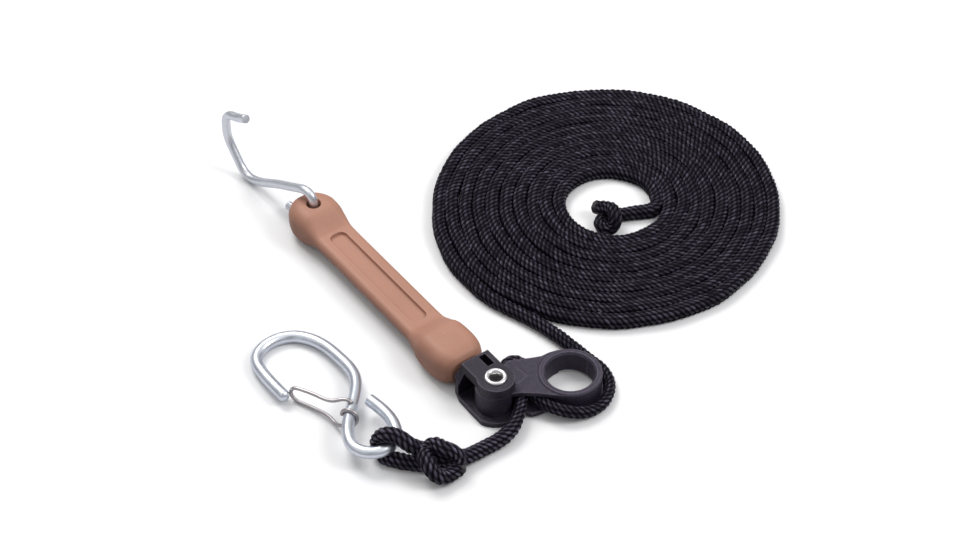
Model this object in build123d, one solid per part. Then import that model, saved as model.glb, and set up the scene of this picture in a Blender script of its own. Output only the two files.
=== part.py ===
from build123d import *
import math
import os

# Stretch-link hoist line: an S-hook on a moulded rubber link, a cam rope lock with a
# finger ring, a coiled rope and a two-ended snap hook with a wire gate.
# Millimetres and degrees.  +Z is up and everything lies on the plane Z = 0.
# The working frame has its origin on the floor at the centre of the rope coil.
# "Along" and "across" are measured from the rivet axis: along the rubber link, and to
# the left of it seen from above.

# ----------------------------------------------------------------- shared dimensions
OFFSET = (54.9888, 49.2013, 0.0)     # moves the bottom centre of the whole to the origin

ROPE_D = 6.35
ROPE_R = ROPE_D / 2
FLEX_GAP = ROPE_R + 0.25             # a rope stops this far short of the next ball end

RIVET = (-57.3, -135.5)              # pivot axis of the rope lock
RIVET_SHANK_R = 3.80
RIVET_FOOT_Z0 = 0.35
RIVET_FOOT_Z1 = 1.45                 # also the depth of the recess it sits in

LINK_DIR = 126.35                    # direction of the rubber link from +X
LINK_ACROSS = 2.0                    # the link's centre line is this far off the rivet

CHEEK_LOW_T = 3.0
CHEEK_LOW_R = 13.2
CHEEK_TOP_Z0 = 14.4
CHEEK_TOP_Z1 = 20.0
WEB_S0 = 14.2                        # web between the cheeks, along the link
WEB_S1 = 18.6

RING_C = (-22.8, -124.9)             # finger ring of the lever
RING_RI = 11.6
RING_RO = 15.1

# rope route where it passes from one piece to the next
WRAP_R = RING_RO + 0.25 + ROPE_R     # rope centreline round the ring
WRAP_START = 43.5                    # angle on the ring where the rope meets it
WRAP_RUN_IN = 21.5                   # straight rope from the coil's flex point to there
IN_LOCK_Z = 6.34                     # rope axis height between the lever plates
STRAND_DIR = 105.0                   # both strands under the lever plate run this way
U_TURN_C = (-48.6, -116.0)           # centre of the U-turn round the rope post
LEAD_EXIT = (-45.7, -139.4)          # flex point where the rope leaves the lever
LEAD_HEADING = (-0.13, -0.9915)


# ----------------------------------------------------------------- helpers
def direction(angle):
    return (math.cos(math.radians(angle)), math.sin(math.radians(angle)))


def shift(point, heading, distance):
    return (point[0] + heading[0] * distance, point[1] + heading[1] * distance)


def polar(centre, radius, angle):
    return shift(centre, direction(angle), radius)


def at_z(point, z):
    return (point[0], point[1], z)


ALONG = direction(LINK_DIR)
ACROSS = (-ALONG[1], ALONG[0])
STRAND = direction(STRAND_DIR)
STRAND_RIGHT = direction(STRAND_DIR - 90)
RUN_IN = direction(WRAP_START - 90)
COIL_FLEX = shift(polar(RING_C, WRAP_R, WRAP_START), RUN_IN, -WRAP_RUN_IN)


def link_point(along, across):
    return shift(shift(RIVET, ALONG, along), ACROSS, across)


def link_plane(z):
    return Plane(origin=at_z(RIVET, z), x_dir=at_z(ALONG, 0), z_dir=(0, 0, 1))


def outline_face(points):
    return make_face(Polyline(*points, close=True))


def prism(points, z0, z1, plane_at=Plane.XY.offset):
    return extrude(plane_at(z0) * outline_face(points), amount=z1 - z0)


def link_prism(points, z0, z1):
    """Upright prism whose points are (along, across)."""
    return prism(points, z0, z1, link_plane)


def link_box(along0, along1, across0, across1, z0, z1):
    return link_prism([(along0, across0), (along1, across0),
                       (along1, across1), (along0, across1)], z0, z1)


def disc(centre, radius, z0, z1):
    return Pos(*at_z(centre, (z0 + z1) / 2)) * Cylinder(radius, z1 - z0)


def flat_arc(centre, radius, start, end, z):
    angles = (start, (start + end) / 2, end)
    return ThreePointArc(*[at_z(polar(centre, radius, angle), z) for angle in angles])


def tube(path, radius):
    start = Plane(origin=path @ 0, z_dir=path % 0)
    return sweep(start * Circle(radius), path=path)


def ball(centre, radius):
    return Pos(*centre) * Sphere(radius)


def largest(shape):
    return max(shape.solids(), key=lambda solid: solid.volume)


def egg(centre, radius, half_height, tilt=0.0, turn=0.0):
    """Ellipse revolved about its own axis, tilted about Y, then turned about Z."""
    points = []
    for i in range(13):
        across, down = math.sin(math.radians(15 * i)), math.cos(math.radians(15 * i))
        points.append((radius * across, -half_height * down))
    profile = make_face([Spline(*points, tangents=[(1, 0), (-1, 0)]),
                         Line(points[-1], points[0])])
    body = revolve(Plane.XZ * profile, Axis.Z)
    return largest(Pos(*centre) * Rot(0, 0, turn) * Rot(0, tilt, 0) * body)


# ----------------------------------------------------------------- rope coil
COIL_PITCH = 6.485          # spacing of neighbouring turns
COIL_R0 = 22.81             # centreline radius where the spiral starts
COIL_TURNS = 9.656          # turns up to the point where the rope leaves the coil
COIL_END = COIL_TURNS * 360
COIL_ARC = 30               # largest angle of one arc
COIL_SWELL = 3.6            # extra radius on one side of the outermost turn
COIL_SWELL_FROM = 3.5       # turns after which the swelling grows
COIL_SWELL_DIR = 228.0
COIL_SWELL_WIDTH = 46.0     # angular width of the swelling
COIL_IN_SHIFT = 1.3         # how far the innermost turns sit off centre
COIL_IN_DIR = 48
COIL_IN_TURNS = 5.0         # turns over which that shift fades out
COIL_IN_R = 6.5             # tight bend where the inner end turns to the middle
COIL_IN_START = -80
COIL_IN_LEN = 10.2          # straight rope between that bend and the stopper knot
CURVATURE_STEP = 0.02       # radians
CURVATURE_SAMPLES = 8       # per arc


def coil_support(angle):
    """Distance from the coil centre to the spiral's tangent line."""
    turns = angle / 360
    grow = max(0.0, turns - COIL_SWELL_FROM) / (COIL_TURNS - COIL_SWELL_FROM)
    off = (angle - COIL_SWELL_DIR + 180.0) % 360.0 - 180.0
    side = math.exp(-(off / COIL_SWELL_WIDTH) ** 2)
    fade = max(0.0, 1.0 - turns / COIL_IN_TURNS)
    inner = COIL_IN_SHIFT * fade * math.cos(math.radians(angle - COIL_IN_DIR))
    return COIL_R0 + COIL_PITCH * turns + COIL_SWELL * grow * side + inner


def curvature_radius(angle):
    """Support distance plus its second derivative."""
    step = math.degrees(CURVATURE_STEP)
    here = coil_support(angle)
    second = coil_support(angle + step) - 2 * here + coil_support(angle - step)
    return here + second / CURVATURE_STEP ** 2


SPIRAL_START = (coil_support(0.0), 0.0)
COIL_IN_C = shift(SPIRAL_START, (-1, 0), COIL_IN_R)
COIL_IN_BEND = polar(COIL_IN_C, COIL_IN_R, COIL_IN_START)
ROPE_START = shift(COIL_IN_BEND, direction(COIL_IN_START + 90), -COIL_IN_LEN)


def make_coil():
    """Flat spiral of tangent arcs, each with the mean curvature radius of its span."""
    edges = [Line(at_z(ROPE_START, ROPE_R), at_z(COIL_IN_BEND, ROPE_R)),
             flat_arc(COIL_IN_C, COIL_IN_R, COIL_IN_START, 0.0, ROPE_R)]
    point = SPIRAL_START
    count = math.ceil(COIL_END / COIL_ARC)
    for k in range(count):
        start = COIL_END * k / count
        end = COIL_END * (k + 1) / count
        radius = sum(curvature_radius(start + (end - start) * (j + 0.5) / CURVATURE_SAMPLES)
                     for j in range(CURVATURE_SAMPLES)) / CURVATURE_SAMPLES
        centre = polar(point, -radius, start)
        edges.append(flat_arc(centre, radius, start, end, ROPE_R))
        point = polar(centre, radius, end)
    # the rope leaves the coil for the flex point, bending slightly the other way
    edges.append(Spline(at_z(point, ROPE_R),
                        at_z(shift(COIL_FLEX, RUN_IN, -FLEX_GAP), ROPE_R),
                        tangents=[at_z(direction(COIL_END + 90), 0), at_z(RUN_IN, 0)]))
    return largest(tube(Wire(edges), ROPE_R))


STOPPER_C = (ROPE_START[0] - 7.4, ROPE_START[1] - 3.4, 5.75)


def make_stopper_knot():
    return egg(STOPPER_C, radius=6.0, half_height=5.6)


def make_coil_tip():
    """Sealed rope tip beside the stopper knot."""
    x, y, _ = STOPPER_C
    return largest(tube(Line((x - 3.15, y + 8.65, 7.6), (x - 4.8, y + 12.9, 8.2)), 2.8))


# ----------------------------------------------------------------- rope through the lock
RING_ROPE_Z = 3.2           # rope axis height round the ring, before it climbs
CLIMB_START = -48.0         # ring angle where the climb on to the lower plate begins
CLIMB = [(-66, 3.8), (-84, 4.95), (-100, 5.9), (-112, 6.28), (-124, IN_LOCK_Z)]  # angle, z
CLIMB_END = (-39.2, -134.8)
U_TURN_R = 3.75
STRAND_LEN = 9              # straight part of each strand below the U-turn
OUT_POINTS = [(-47.2, -129.8), (-45.7, -134.0)]


def make_rope_in_lock():
    right_top = shift(U_TURN_C, STRAND_RIGHT, U_TURN_R)
    left_top = shift(U_TURN_C, STRAND_RIGHT, -U_TURN_R)
    run_in = Line(at_z(COIL_FLEX, RING_ROPE_Z),
                  at_z(polar(RING_C, WRAP_R, WRAP_START), RING_ROPE_Z))
    round_ring = flat_arc(RING_C, WRAP_R, WRAP_START, CLIMB_START, RING_ROPE_Z)
    climb_points = [at_z(polar(RING_C, WRAP_R, angle), z)
                    for angle, z in [(CLIMB_START, RING_ROPE_Z)] + CLIMB]
    climb_points += [at_z(point, IN_LOCK_Z) for point in
                     (CLIMB_END, shift(right_top, STRAND, -STRAND_LEN), right_top)]
    climb = Spline(*climb_points,
                   tangents=[at_z(direction(CLIMB_START - 90), 0), at_z(STRAND, 0)])
    u_turn = flat_arc(U_TURN_C, U_TURN_R, STRAND_DIR - 90, STRAND_DIR + 90, IN_LOCK_Z)
    out_points = [left_top, shift(left_top, STRAND, -STRAND_LEN), *OUT_POINTS,
                  shift(LEAD_EXIT, LEAD_HEADING, -FLEX_GAP)]
    way_out = Spline(*[at_z(point, IN_LOCK_Z) for point in out_points],
                     tangents=[(-STRAND[0], -STRAND[1], 0), at_z(LEAD_HEADING, 0)])
    rope = tube(Wire([run_in, round_ring, climb, u_turn, way_out]), ROPE_R)
    return largest(rope + ball(at_z(COIL_FLEX, RING_ROPE_Z), ROPE_R))


# ----------------------------------------------------------------- rope to the snap hook
LEAD_POINTS = [             # x, y, z
    at_z(LEAD_EXIT, IN_LOCK_Z), (-46.8, -146.2, 6.3), (-49.3, -152.6, 5.4),
    (-54.4, -158.6, 4.2), (-61.6, -163.8, 3.7), (-69.0, -168.4, 4.2), (-75.5, -172.0, 5.2)]
LEAD_END_TANGENT = (-0.86, -0.49, 0.12)
HOOK_KNOT_C = (-82.4, -173.6, 7.3)
# loop through the small eye of the snap hook: one strand over the wire, one under
LOOP_POINTS = [             # x, y, z
    (-90.4, -170.9, 9.6), (-95.6, -169.6, 13.6), (-101.2, -168.0, 16.0),
    (-106.4, -165.9, 15.2), (-110.2, -164.2, 11.0), (-110.9, -165.0, 6.4),
    (-108.2, -168.0, 3.4), (-103.0, -170.8, 3.25), (-97.0, -172.6, 3.5),
    (-90.6, -174.6, 4.8)]
LOOP_R = ROPE_R * 0.95


def make_hook_knot():
    return egg(HOOK_KNOT_C, radius=7.2, half_height=11.0, tilt=90, turn=30)


def make_lead(knot):
    path = Spline(*LEAD_POINTS, tangents=[at_z(LEAD_HEADING, 0), LEAD_END_TANGENT])
    return largest(tube(path, ROPE_R) + ball(LEAD_POINTS[0], ROPE_R) - knot)


def make_loop(knot):
    return largest(tube(Spline(*LOOP_POINTS), LOOP_R) - knot)


def make_hook_tip(knot, lead):
    """Sealed rope tip beside the hook knot."""
    tip = tube(Line((-76.6, -175.6, 4.6), (-72.6, -180.6, 3.7)), 2.95)
    return largest(tip - knot - lead)


# ----------------------------------------------------------------- rope lock housing
# widths ending in _W are half widths across the link
CHEEK_LOW_W = 12.2
CHEEK_TOP_W = 7.6
WEB_NEAR_W = 11.4
WEB_FAR_W = 9.8
BOSS_R = 9.0
FOOT_RECESS_R = 6.2
SHOULDER_CUT = [            # across, z
    (CHEEK_TOP_W, 20.5), (12.5, 20.5), (12.5, 9.0), (11.0, 9.6), (CHEEK_TOP_W, 15.5)]
LEAN_CUT = [                # along, z
    (WEB_S1 + 0.5, 9.5), (WEB_S1 + 0.5, 21), (16.5, 21), (16.5, 20), (WEB_S1, 12.5)]
LUG_OUTLINE = [             # along, across
    (WEB_S1 - 0.6, -5.2), (32, -4.2), (32, -7.0), (38, -7.0),
    (38, 7.0), (32, 7.0), (32, 4.2), (WEB_S1 - 0.6, 5.2)]


def make_lug():
    """Lug with an anchor head, moulded into the rubber link."""
    return link_prism(LUG_OUTLINE, 4.2, 12.2)


def make_low_cheek():
    cheek = disc(RIVET, CHEEK_LOW_R, 0, CHEEK_LOW_T)
    cheek = cheek & link_box(-14, 16, -CHEEK_LOW_W, CHEEK_LOW_W, 0, CHEEK_LOW_T)
    return cheek + link_prism(
        [(0, -CHEEK_LOW_W), (12.5, -CHEEK_LOW_W + 0.3), (WEB_S1, -WEB_FAR_W),
         (WEB_S1, WEB_FAR_W), (12.5, CHEEK_LOW_W - 0.3), (0, CHEEK_LOW_W)], 0, CHEEK_LOW_T)


def make_web():
    web = link_prism([(WEB_S0, -WEB_NEAR_W), (WEB_S1, -WEB_FAR_W),
                      (WEB_S1, WEB_FAR_W), (WEB_S0, WEB_NEAR_W)], 0, CHEEK_TOP_Z1)
    # shoulders slope in to the narrow top cheek; the plane's y axis is up for side 1
    # and down for side -1
    for side in (-1, 1):
        plane = Plane(origin=at_z(RIVET, 0), x_dir=(ACROSS[0] * side, ACROSS[1] * side, 0),
                      z_dir=at_z(ALONG, 0))
        cut = outline_face([(across, z * side) for across, z in SHOULDER_CUT])
        web = web - extrude(plane.offset(10) * cut, amount=14)
    # the outer face leans in towards the top
    plane = Plane(origin=at_z(link_point(0, -16), 0), x_dir=at_z(ALONG, 0),
                  z_dir=(-ACROSS[0], -ACROSS[1], 0))
    for depth in (34, -34):
        web = web - extrude(plane * outline_face(LEAN_CUT), amount=depth)
    return web


def make_housing(lug):
    top = link_box(0, 16.6, -CHEEK_TOP_W, CHEEK_TOP_W, CHEEK_TOP_Z0, CHEEK_TOP_Z1)
    top = top + disc(RIVET, BOSS_R, CHEEK_TOP_Z0, CHEEK_TOP_Z1)
    window = link_box(7.9, 15.3, -5.0, -1.4, CHEEK_TOP_Z0 - 1, CHEEK_TOP_Z1 + 1)
    top = top - window
    housing = make_low_cheek() + (make_web() - window) + top + lug
    housing = housing - disc(RIVET, RIVET_SHANK_R, -1, 22)
    return largest(housing - disc(RIVET, FOOT_RECESS_R, -1, RIVET_FOOT_Z1))


# ----------------------------------------------------------------- tubular rivet
RIVET_BORE_R = 3.10
RIVET_HEAD_R = 5.35
RIVET_HEAD_T = 1.25
RIVET_FOOT_R = 5.6
RIVET_HEAD_PROFILE = [      # radius, height above the top cheek
    (0, 0), (RIVET_HEAD_R, 0), (RIVET_HEAD_R, 0.35), (RIVET_HEAD_R - 0.55, 0.95),
    (RIVET_HEAD_R - 1.4, RIVET_HEAD_T), (RIVET_BORE_R + 0.25, RIVET_HEAD_T - 0.1),
    (0, RIVET_HEAD_T - 0.3)]


def make_rivet():
    """Open right through, rolled over in a recess under the lower cheek."""
    shank = disc(RIVET, RIVET_SHANK_R, RIVET_FOOT_Z0, CHEEK_TOP_Z1)
    head = Pos(*at_z(RIVET, CHEEK_TOP_Z1)) * revolve(
        Plane.XZ * outline_face(RIVET_HEAD_PROFILE), Axis.Z)
    foot = disc(RIVET, RIVET_FOOT_R, RIVET_FOOT_Z0, RIVET_FOOT_Z1)
    foot = chamfer(foot.edges().filter_by(GeomType.CIRCLE).sort_by(Axis.Z)[0:1], 0.5)
    return largest(shank + head + foot - disc(RIVET, RIVET_BORE_R, -1, 24))


# ----------------------------------------------------------------- lever with finger ring
HUB_R = 8.7
HUB_ECCENTRICITY = 0.9
HUB_CLEARANCE = 0.08        # to each cheek
LOW_CHEEK_CLEARANCE = 0.6   # round the lower cheek
LOW_PLATE_Z0 = 0.5
LOW_PLATE_Z1 = 3.0
PLATE_Z0 = 9.75
PLATE_Z1 = 12.1
RING_Z0 = 1.6
RING_Z1 = 12.9
POST_W = 0.4                # half width
POST_LEN = 6.5
PLATE_OUTLINE = [           # x, y
    (-52.2, -117.6), (-47.0, -116.3), (-41.0, -115.4), (-36.0, -114.2), (-32.4, -111.9),
    (-28.0, -110.2), (-22.8, -112.0), (-22.8, -138.0), (-26.0, -139.8), (-31.0, -139.0),
    (-38.0, -137.9), (-46.0, -137.6), (-50.5, -138.6), (-54.5, -141.5), (-60.0, -139.0),
    (-61.0, -131.0), (-57.0, -126.8)]
LOW_PLATE_OUTLINE = [       # x, y
    (-48.5, -109.5), (-41.5, -110.5), (-36.0, -113.5), (-30.0, -112.4), (-22.8, -118.0),
    (-22.8, -132.0), (-30.0, -137.2), (-36.0, -140.6), (-40.5, -142.6), (-43.2, -141.5),
    (-42.6, -136), (-43.0, -125), (-48.5, -117.0)]
CHEVRON_TIP = (-43.2, -127.0)
CHEVRON_ARMS = [            # x, y from the tip
    [(-5.0, 5.2), (-3.6, 5.2), (1.4, 0), (0, 0)],
    [(0, 0), (1.4, 0), (-3.6, -5.2), (-5.0, -5.2)]]


def make_low_plate():
    plate = prism(LOW_PLATE_OUTLINE, LOW_PLATE_Z0, LOW_PLATE_Z1)
    plate = plate - disc(RIVET, CHEEK_LOW_R + LOW_CHEEK_CLEARANCE, -1, 5)
    return plate - link_box(WEB_S0 - 3, WEB_S1 + 8, -14.2, 14, -1, 5)


def make_post():
    """Thin rounded fin the rope turns round, kept clear of the lower cheek."""
    foot = shift(U_TURN_C, STRAND, -POST_LEN)
    corners = [shift(U_TURN_C, STRAND_RIGHT, POST_W), shift(U_TURN_C, STRAND_RIGHT, -POST_W),
               shift(foot, STRAND_RIGHT, -POST_W), shift(foot, STRAND_RIGHT, POST_W)]
    post = prism(corners, LOW_PLATE_Z0, PLATE_Z1)
    for end in (U_TURN_C, foot):
        post = post + disc(end, POST_W, LOW_PLATE_Z0, PLATE_Z1)
    return post - disc(RIVET, CHEEK_LOW_R + LOW_CHEEK_CLEARANCE, -1, CHEEK_LOW_T + 0.1)


def make_chevron():
    """Raised mark on the plate that shows the pulling direction."""
    first, second = [
        prism([(CHEVRON_TIP[0] + x, CHEVRON_TIP[1] + y) for x, y in arm],
              PLATE_Z1 - 0.3, PLATE_Z1 + 0.3)
        for arm in CHEVRON_ARMS]
    return first + second


def make_lever():
    # the hub is eccentric: it pinches the rope
    hub = disc((RIVET[0] - HUB_ECCENTRICITY, RIVET[1]), HUB_R,
               CHEEK_LOW_T + HUB_CLEARANCE, CHEEK_TOP_Z0 - HUB_CLEARANCE)
    ring = disc(RING_C, RING_RO, RING_Z0, RING_Z1)
    ring = chamfer(ring.edges().filter_by(GeomType.CIRCLE), 0.7)
    plate = prism(PLATE_OUTLINE, PLATE_Z0, PLATE_Z1)
    lever = plate + make_low_plate() + ring + hub + make_post()
    lever = lever - disc(RING_C, RING_RI, -1, 20)
    # flared upper mouth of the ring
    lever = lever - Pos(*at_z(RING_C, RING_Z1 - 0.45)) * Cone(RING_RI, RING_RI + 1.1, 1.1)
    lever = lever - disc(RIVET, RIVET_SHANK_R + 0.05, -1, 24)
    return largest(lever + make_chevron())


# ----------------------------------------------------------------- rubber stretch link
LINK_MID_Z = 9.8            # half the nominal thickness of the end knobs
LINK_BAR_T = 7.1            # thickness of the flat bar between them
LINK_SPLIT = 133.0          # the link is made in two pieces, parted here
SPLIT_GAP = 0.03            # taken off each piece
LINK_STATIONS = [           # along, width, thickness, corner radius
    (20.6, 16.4, 11.80, 4.96), (21.3, 18.4, 13.59, 5.71), (22.5, 21.2, 16.10, 6.76),
    (24.5, 23.5, 17.77, 7.00), (27.0, 25.2, 18.90, 7.00), (30.0, 26.2, 19.39, 7.00),
    (33.0, 26.5, 19.49, 7.00), (37.0, 26.4, 19.36, 7.00), (40.7, 26.1, 18.90, 7.00),
    (43.5, 25.3, 17.29, 6.60), (46.0, 24.1, 14.43, 6.06), (48.5, 23.0, 11.75, 4.94),
    (51.0, 21.8, 8.77, 3.68), (53.4, 21.1, 7.40, 3.07), (56.5, 21.0, 7.15, 3.00),
    *[(along, 20.9, LINK_BAR_T, 2.98) for along in (62.0, 78.0, 92.0, 108.0, 122.0)],
    (127.0, 21.0, 7.15, 3.00), (130.1, 21.1, 7.60, 3.17), (133.0, 21.8, 9.75, 4.05),
    (136.0, 23.0, 13.30, 5.59), (139.0, 24.0, 16.82, 6.90), (141.8, 24.7, 18.75, 7.00),
    (144.5, 25.0, 19.25, 7.00), (147.6, 25.1, 19.30, 7.00), (151.0, 23.8, 18.69, 7.00),
    (153.9, 21.6, 17.50, 7.00), (156.0, 18.9, 16.31, 6.85), (157.4, 16.1, 14.89, 6.25),
    (158.4, 12.0, 12.10, 5.04)]
# round-ended channel in the top and bottom faces
CHANNEL_S0 = 56.2
CHANNEL_S1 = 128.6
CHANNEL_W = 8.8
CHANNEL_DEPTH = 1.6
CHANNEL_CORNER_R = 3.2
CHANNEL_ACROSS = LINK_ACROSS + 0.2
HOLE_ALONG = 147.6          # hook hole
HOLE_R = 3.6
HOLE = link_point(HOLE_ALONG, LINK_ACROSS)
FAN_ANGLE = 24.0            # half angle of the recess for the hook's tail
FAN_LEN = 30
FAN_W = 2.9                 # half width at the hole


def make_link(lug):
    sections = []
    for along, width, thickness, corner_r in LINK_STATIONS:
        plane = Plane(origin=at_z(link_point(along, LINK_ACROSS), LINK_MID_Z),
                      x_dir=at_z(ACROSS, 0), z_dir=at_z(ALONG, 0))
        sections.append(plane * RectangleRounded(width, thickness, corner_r))
    link = largest(loft(sections, ruled=True))

    channel = (link_plane(LINK_MID_Z + LINK_BAR_T / 2 - CHANNEL_DEPTH)
               * Pos((CHANNEL_S0 + CHANNEL_S1) / 2, CHANNEL_ACROSS)
               * RectangleRounded(CHANNEL_S1 - CHANNEL_S0, CHANNEL_W, CHANNEL_CORNER_R))
    channel = extrude(channel, amount=6)
    link = link - channel - mirror(channel, Plane.XY.offset(LINK_MID_Z))
    link = link - disc(HOLE, HOLE_R, -1, 20)

    # fan-shaped recess under the hook end that lets the hook's tail swing
    reach, spread = polar((0, 0), FAN_LEN, FAN_ANGLE)
    fan = link_prism([(HOLE_ALONG, LINK_ACROSS - FAN_W),
                      (HOLE_ALONG + reach, LINK_ACROSS - spread - FAN_W),
                      (HOLE_ALONG + reach, LINK_ACROSS + spread + FAN_W),
                      (HOLE_ALONG, LINK_ACROSS + FAN_W)], -1, 7.2)
    fan = fan + disc(HOLE, 5.6, -1, 10.6)
    return largest(link - fan - lug)


def link_piece(link, along0, along1):
    return largest(link & link_box(along0, along1, -40, 40, -5, 30))


# ----------------------------------------------------------------- S-hook
HOOK_WIRE_R = 2.25
HOOK_DIR = 133.0            # upright plane of the wire, through the hole
HOOK_POINTS = [             # distance from the hole axis, z
    (20.3, 4.2), (12.8, 4.3), (7.0, 4.6), (2.5, 6.2), (0.1, 11.0), (-0.05, 16.6),
    (0.22, 20.5), (2.04, 23.5), (5.9, 24.0), (12.2, 21.4), (30.0, 12.2), (47.3, 3.3),
    (52.0, 2.7), (56.4, 4.95), (60.1, 9.7), (64.0, 15.3), (66.4, 20.3), (67.0, 27.2),
    (66.2, 32.5), (62.9, 36.2), (58.1, 38.2), (49.9, 42.2)]


def make_top_hook():
    points = [at_z(polar(HOLE, distance, HOOK_DIR), z) for distance, z in HOOK_POINTS]
    return largest(tube(Spline(*points), HOOK_WIRE_R))


# ----------------------------------------------------------------- snap hook
# bent wire that rises from its large bow towards the rope eye
SNAP_WIRE_R = 2.85
GATE_WIRE_R = 0.80
EYE_C, EYE_R, EYE_Z = (-113.5, -161.5), 10.8, 9.6
SNAP_POINTS = [             # x, y, z, from the nose round the bow, the eye and its tail
    (-155.6, -132.6, 4.89), (-166.3, -117.2, 3.7), (-169.7, -107.8, 3.1),
    (-166.4, -99.4, 2.95), (-152.9, -92.9, 2.95), (-140.2, -97.9, 3.4),
    (-130.4, -108.6, 4.5), (-123.2, -121.0, 5.8), (-122.2, -132.2, 6.8),
    (-124.0, -147.6, 8.4),
    *[at_z(polar(EYE_C, EYE_R, angle), EYE_Z) for angle in (-178, -142, -106, -70, -34, 0)],
    (-107.4, -147.9, 8.9), (-115.4, -138.4, 8.0)]
GATE_X, GATE_Y = -123.6, -143.0      # socket for the upper gate leg
GATE_POINTS = [             # x, y, z: upper leg, bight behind the hook's nose, lower leg
    (GATE_X, GATE_Y, 9.1), (GATE_X - 0.1, GATE_Y + 0.1, 11.2),
    (GATE_X - 2.2, GATE_Y + 1.0, 12.0), (-131.4, -141.6, 10.9), (-139.8, -137.0, 9.4),
    (-147.0, -132.6, 8.6), (-151.0, -131.0, 7.8), (-152.2, -130.7, 5.0),
    (-151.1, -131.6, 2.0), (-146.6, -134.4, 1.2), (-139.4, -139.0, 1.6),
    (-133.4, -144.4, 2.3), (-129.8, -149.4, 3.0)]


def make_snap_hook():
    snap = tube(Spline(*SNAP_POINTS), SNAP_WIRE_R)
    snap = snap - disc((GATE_X, GATE_Y), 1.15, 8.7, 14.0)
    return largest(snap + ball(SNAP_POINTS[0], SNAP_WIRE_R + 0.02))


def make_gate():
    return largest(tube(Spline(*GATE_POINTS), GATE_WIRE_R))


# end of the gate wire, wound in a helix round the spine of the snap hook
SPINE_POINT = Vector(-124.05, -147.9, 8.43)
SPINE_DIR = Vector(-1.2, -10.7, 1.25).normalized()
HELIX_R = SNAP_WIRE_R + GATE_WIRE_R + 0.03
HELIX_STEPS = 8
HELIX_START, HELIX_SWEEP = -78, 272
HELIX_OFFSET, HELIX_LEN = 4.2, 5.4   # start along the spine, and travel back from it


def make_gate_wrap():
    right = Vector(0, 0, 1).cross(SPINE_DIR).normalized()
    up = SPINE_DIR.cross(right).normalized()
    points = []
    for i in range(HELIX_STEPS + 1):
        across, rise = direction(HELIX_START + i * HELIX_SWEEP / HELIX_STEPS)
        base = SPINE_POINT + SPINE_DIR * (HELIX_OFFSET - i * HELIX_LEN / HELIX_STEPS)
        points.append(base + right * (HELIX_R * across) + up * (HELIX_R * rise))
    return largest(tube(Spline(*points), GATE_WIRE_R))


# ----------------------------------------------------------------- build and write
hook_knot = make_hook_knot()
rope_lead = make_lead(hook_knot)
link_lug = make_lug()
whole_link = make_link(link_lug)

PARTS = {
    "rope_coil": make_coil(),
    "rope_stopper_knot": make_stopper_knot(),
    "rope_sealed_tip_coil_end": make_coil_tip(),
    "rope_in_lock": make_rope_in_lock(),
    "rope_lead": rope_lead,
    "rope_hook_knot": hook_knot,
    "rope_hook_loop": make_loop(hook_knot),
    "rope_sealed_tip_hook_end": make_hook_tip(hook_knot, rope_lead),
    "lock_housing": make_housing(link_lug),
    "lock_rivet": make_rivet(),
    "lock_lever": make_lever(),
    "stretch_link": link_piece(whole_link, -5, LINK_SPLIT - SPLIT_GAP),
    "stretch_link_hook_end": link_piece(whole_link, LINK_SPLIT + SPLIT_GAP, 200),
    "top_hook": make_top_hook(),
    "snap_hook": make_snap_hook(),
    "snap_gate": make_gate(),
    "gate_wire_wrap": make_gate_wrap(),
}

os.makedirs("parts", exist_ok=True)
for name, part in PARTS.items():
    placed = Pos(*OFFSET) * part
    placed.label = name
    export_step(placed, "parts/" + name + ".step")
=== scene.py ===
"""A braided rope coiled flat on the floor and led through a nylon lock to a snap hook.

A rubber stretch link runs from the lock's rivet towards -X +Y and ends in a wire hook.
Sizes are drawing millimetres: origin in the middle of the coil, +Z up, floor at z = 0. The
camera stands at -Y. mesh_from and scene_point turn them into metres in the CAD frame.
"""
import math

import bmesh
import bpy
import numpy as np
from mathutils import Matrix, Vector


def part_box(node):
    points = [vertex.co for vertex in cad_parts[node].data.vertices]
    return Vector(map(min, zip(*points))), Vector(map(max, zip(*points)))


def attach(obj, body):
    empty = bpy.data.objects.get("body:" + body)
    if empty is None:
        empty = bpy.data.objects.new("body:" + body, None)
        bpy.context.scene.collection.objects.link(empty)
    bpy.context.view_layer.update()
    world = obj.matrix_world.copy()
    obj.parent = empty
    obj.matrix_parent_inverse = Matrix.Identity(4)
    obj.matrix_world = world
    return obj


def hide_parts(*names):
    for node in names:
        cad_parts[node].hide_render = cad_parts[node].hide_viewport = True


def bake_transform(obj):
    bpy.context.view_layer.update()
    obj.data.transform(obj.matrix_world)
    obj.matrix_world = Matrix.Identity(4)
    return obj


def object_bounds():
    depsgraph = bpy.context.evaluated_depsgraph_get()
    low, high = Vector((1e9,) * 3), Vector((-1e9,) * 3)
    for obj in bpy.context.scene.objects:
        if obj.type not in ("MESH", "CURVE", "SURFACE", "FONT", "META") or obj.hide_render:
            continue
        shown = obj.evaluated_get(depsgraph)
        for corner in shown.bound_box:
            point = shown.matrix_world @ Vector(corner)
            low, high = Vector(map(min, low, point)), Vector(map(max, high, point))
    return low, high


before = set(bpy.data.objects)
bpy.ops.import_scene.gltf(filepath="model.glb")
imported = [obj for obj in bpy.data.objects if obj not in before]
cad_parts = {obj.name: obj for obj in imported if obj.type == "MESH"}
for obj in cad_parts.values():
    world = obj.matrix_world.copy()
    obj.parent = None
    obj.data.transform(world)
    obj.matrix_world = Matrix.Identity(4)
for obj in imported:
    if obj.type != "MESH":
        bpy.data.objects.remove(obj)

cad_low, cad_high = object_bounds()

# ------------------------------------------------------------------ driving places and sizes
RIVET = np.array((-57.3, -135.5))        # rivet axis in the drawing
ROPE_RADIUS = 3.175
FLOOR_GAP = 0.03                         # lowest height of the rope's surface

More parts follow.
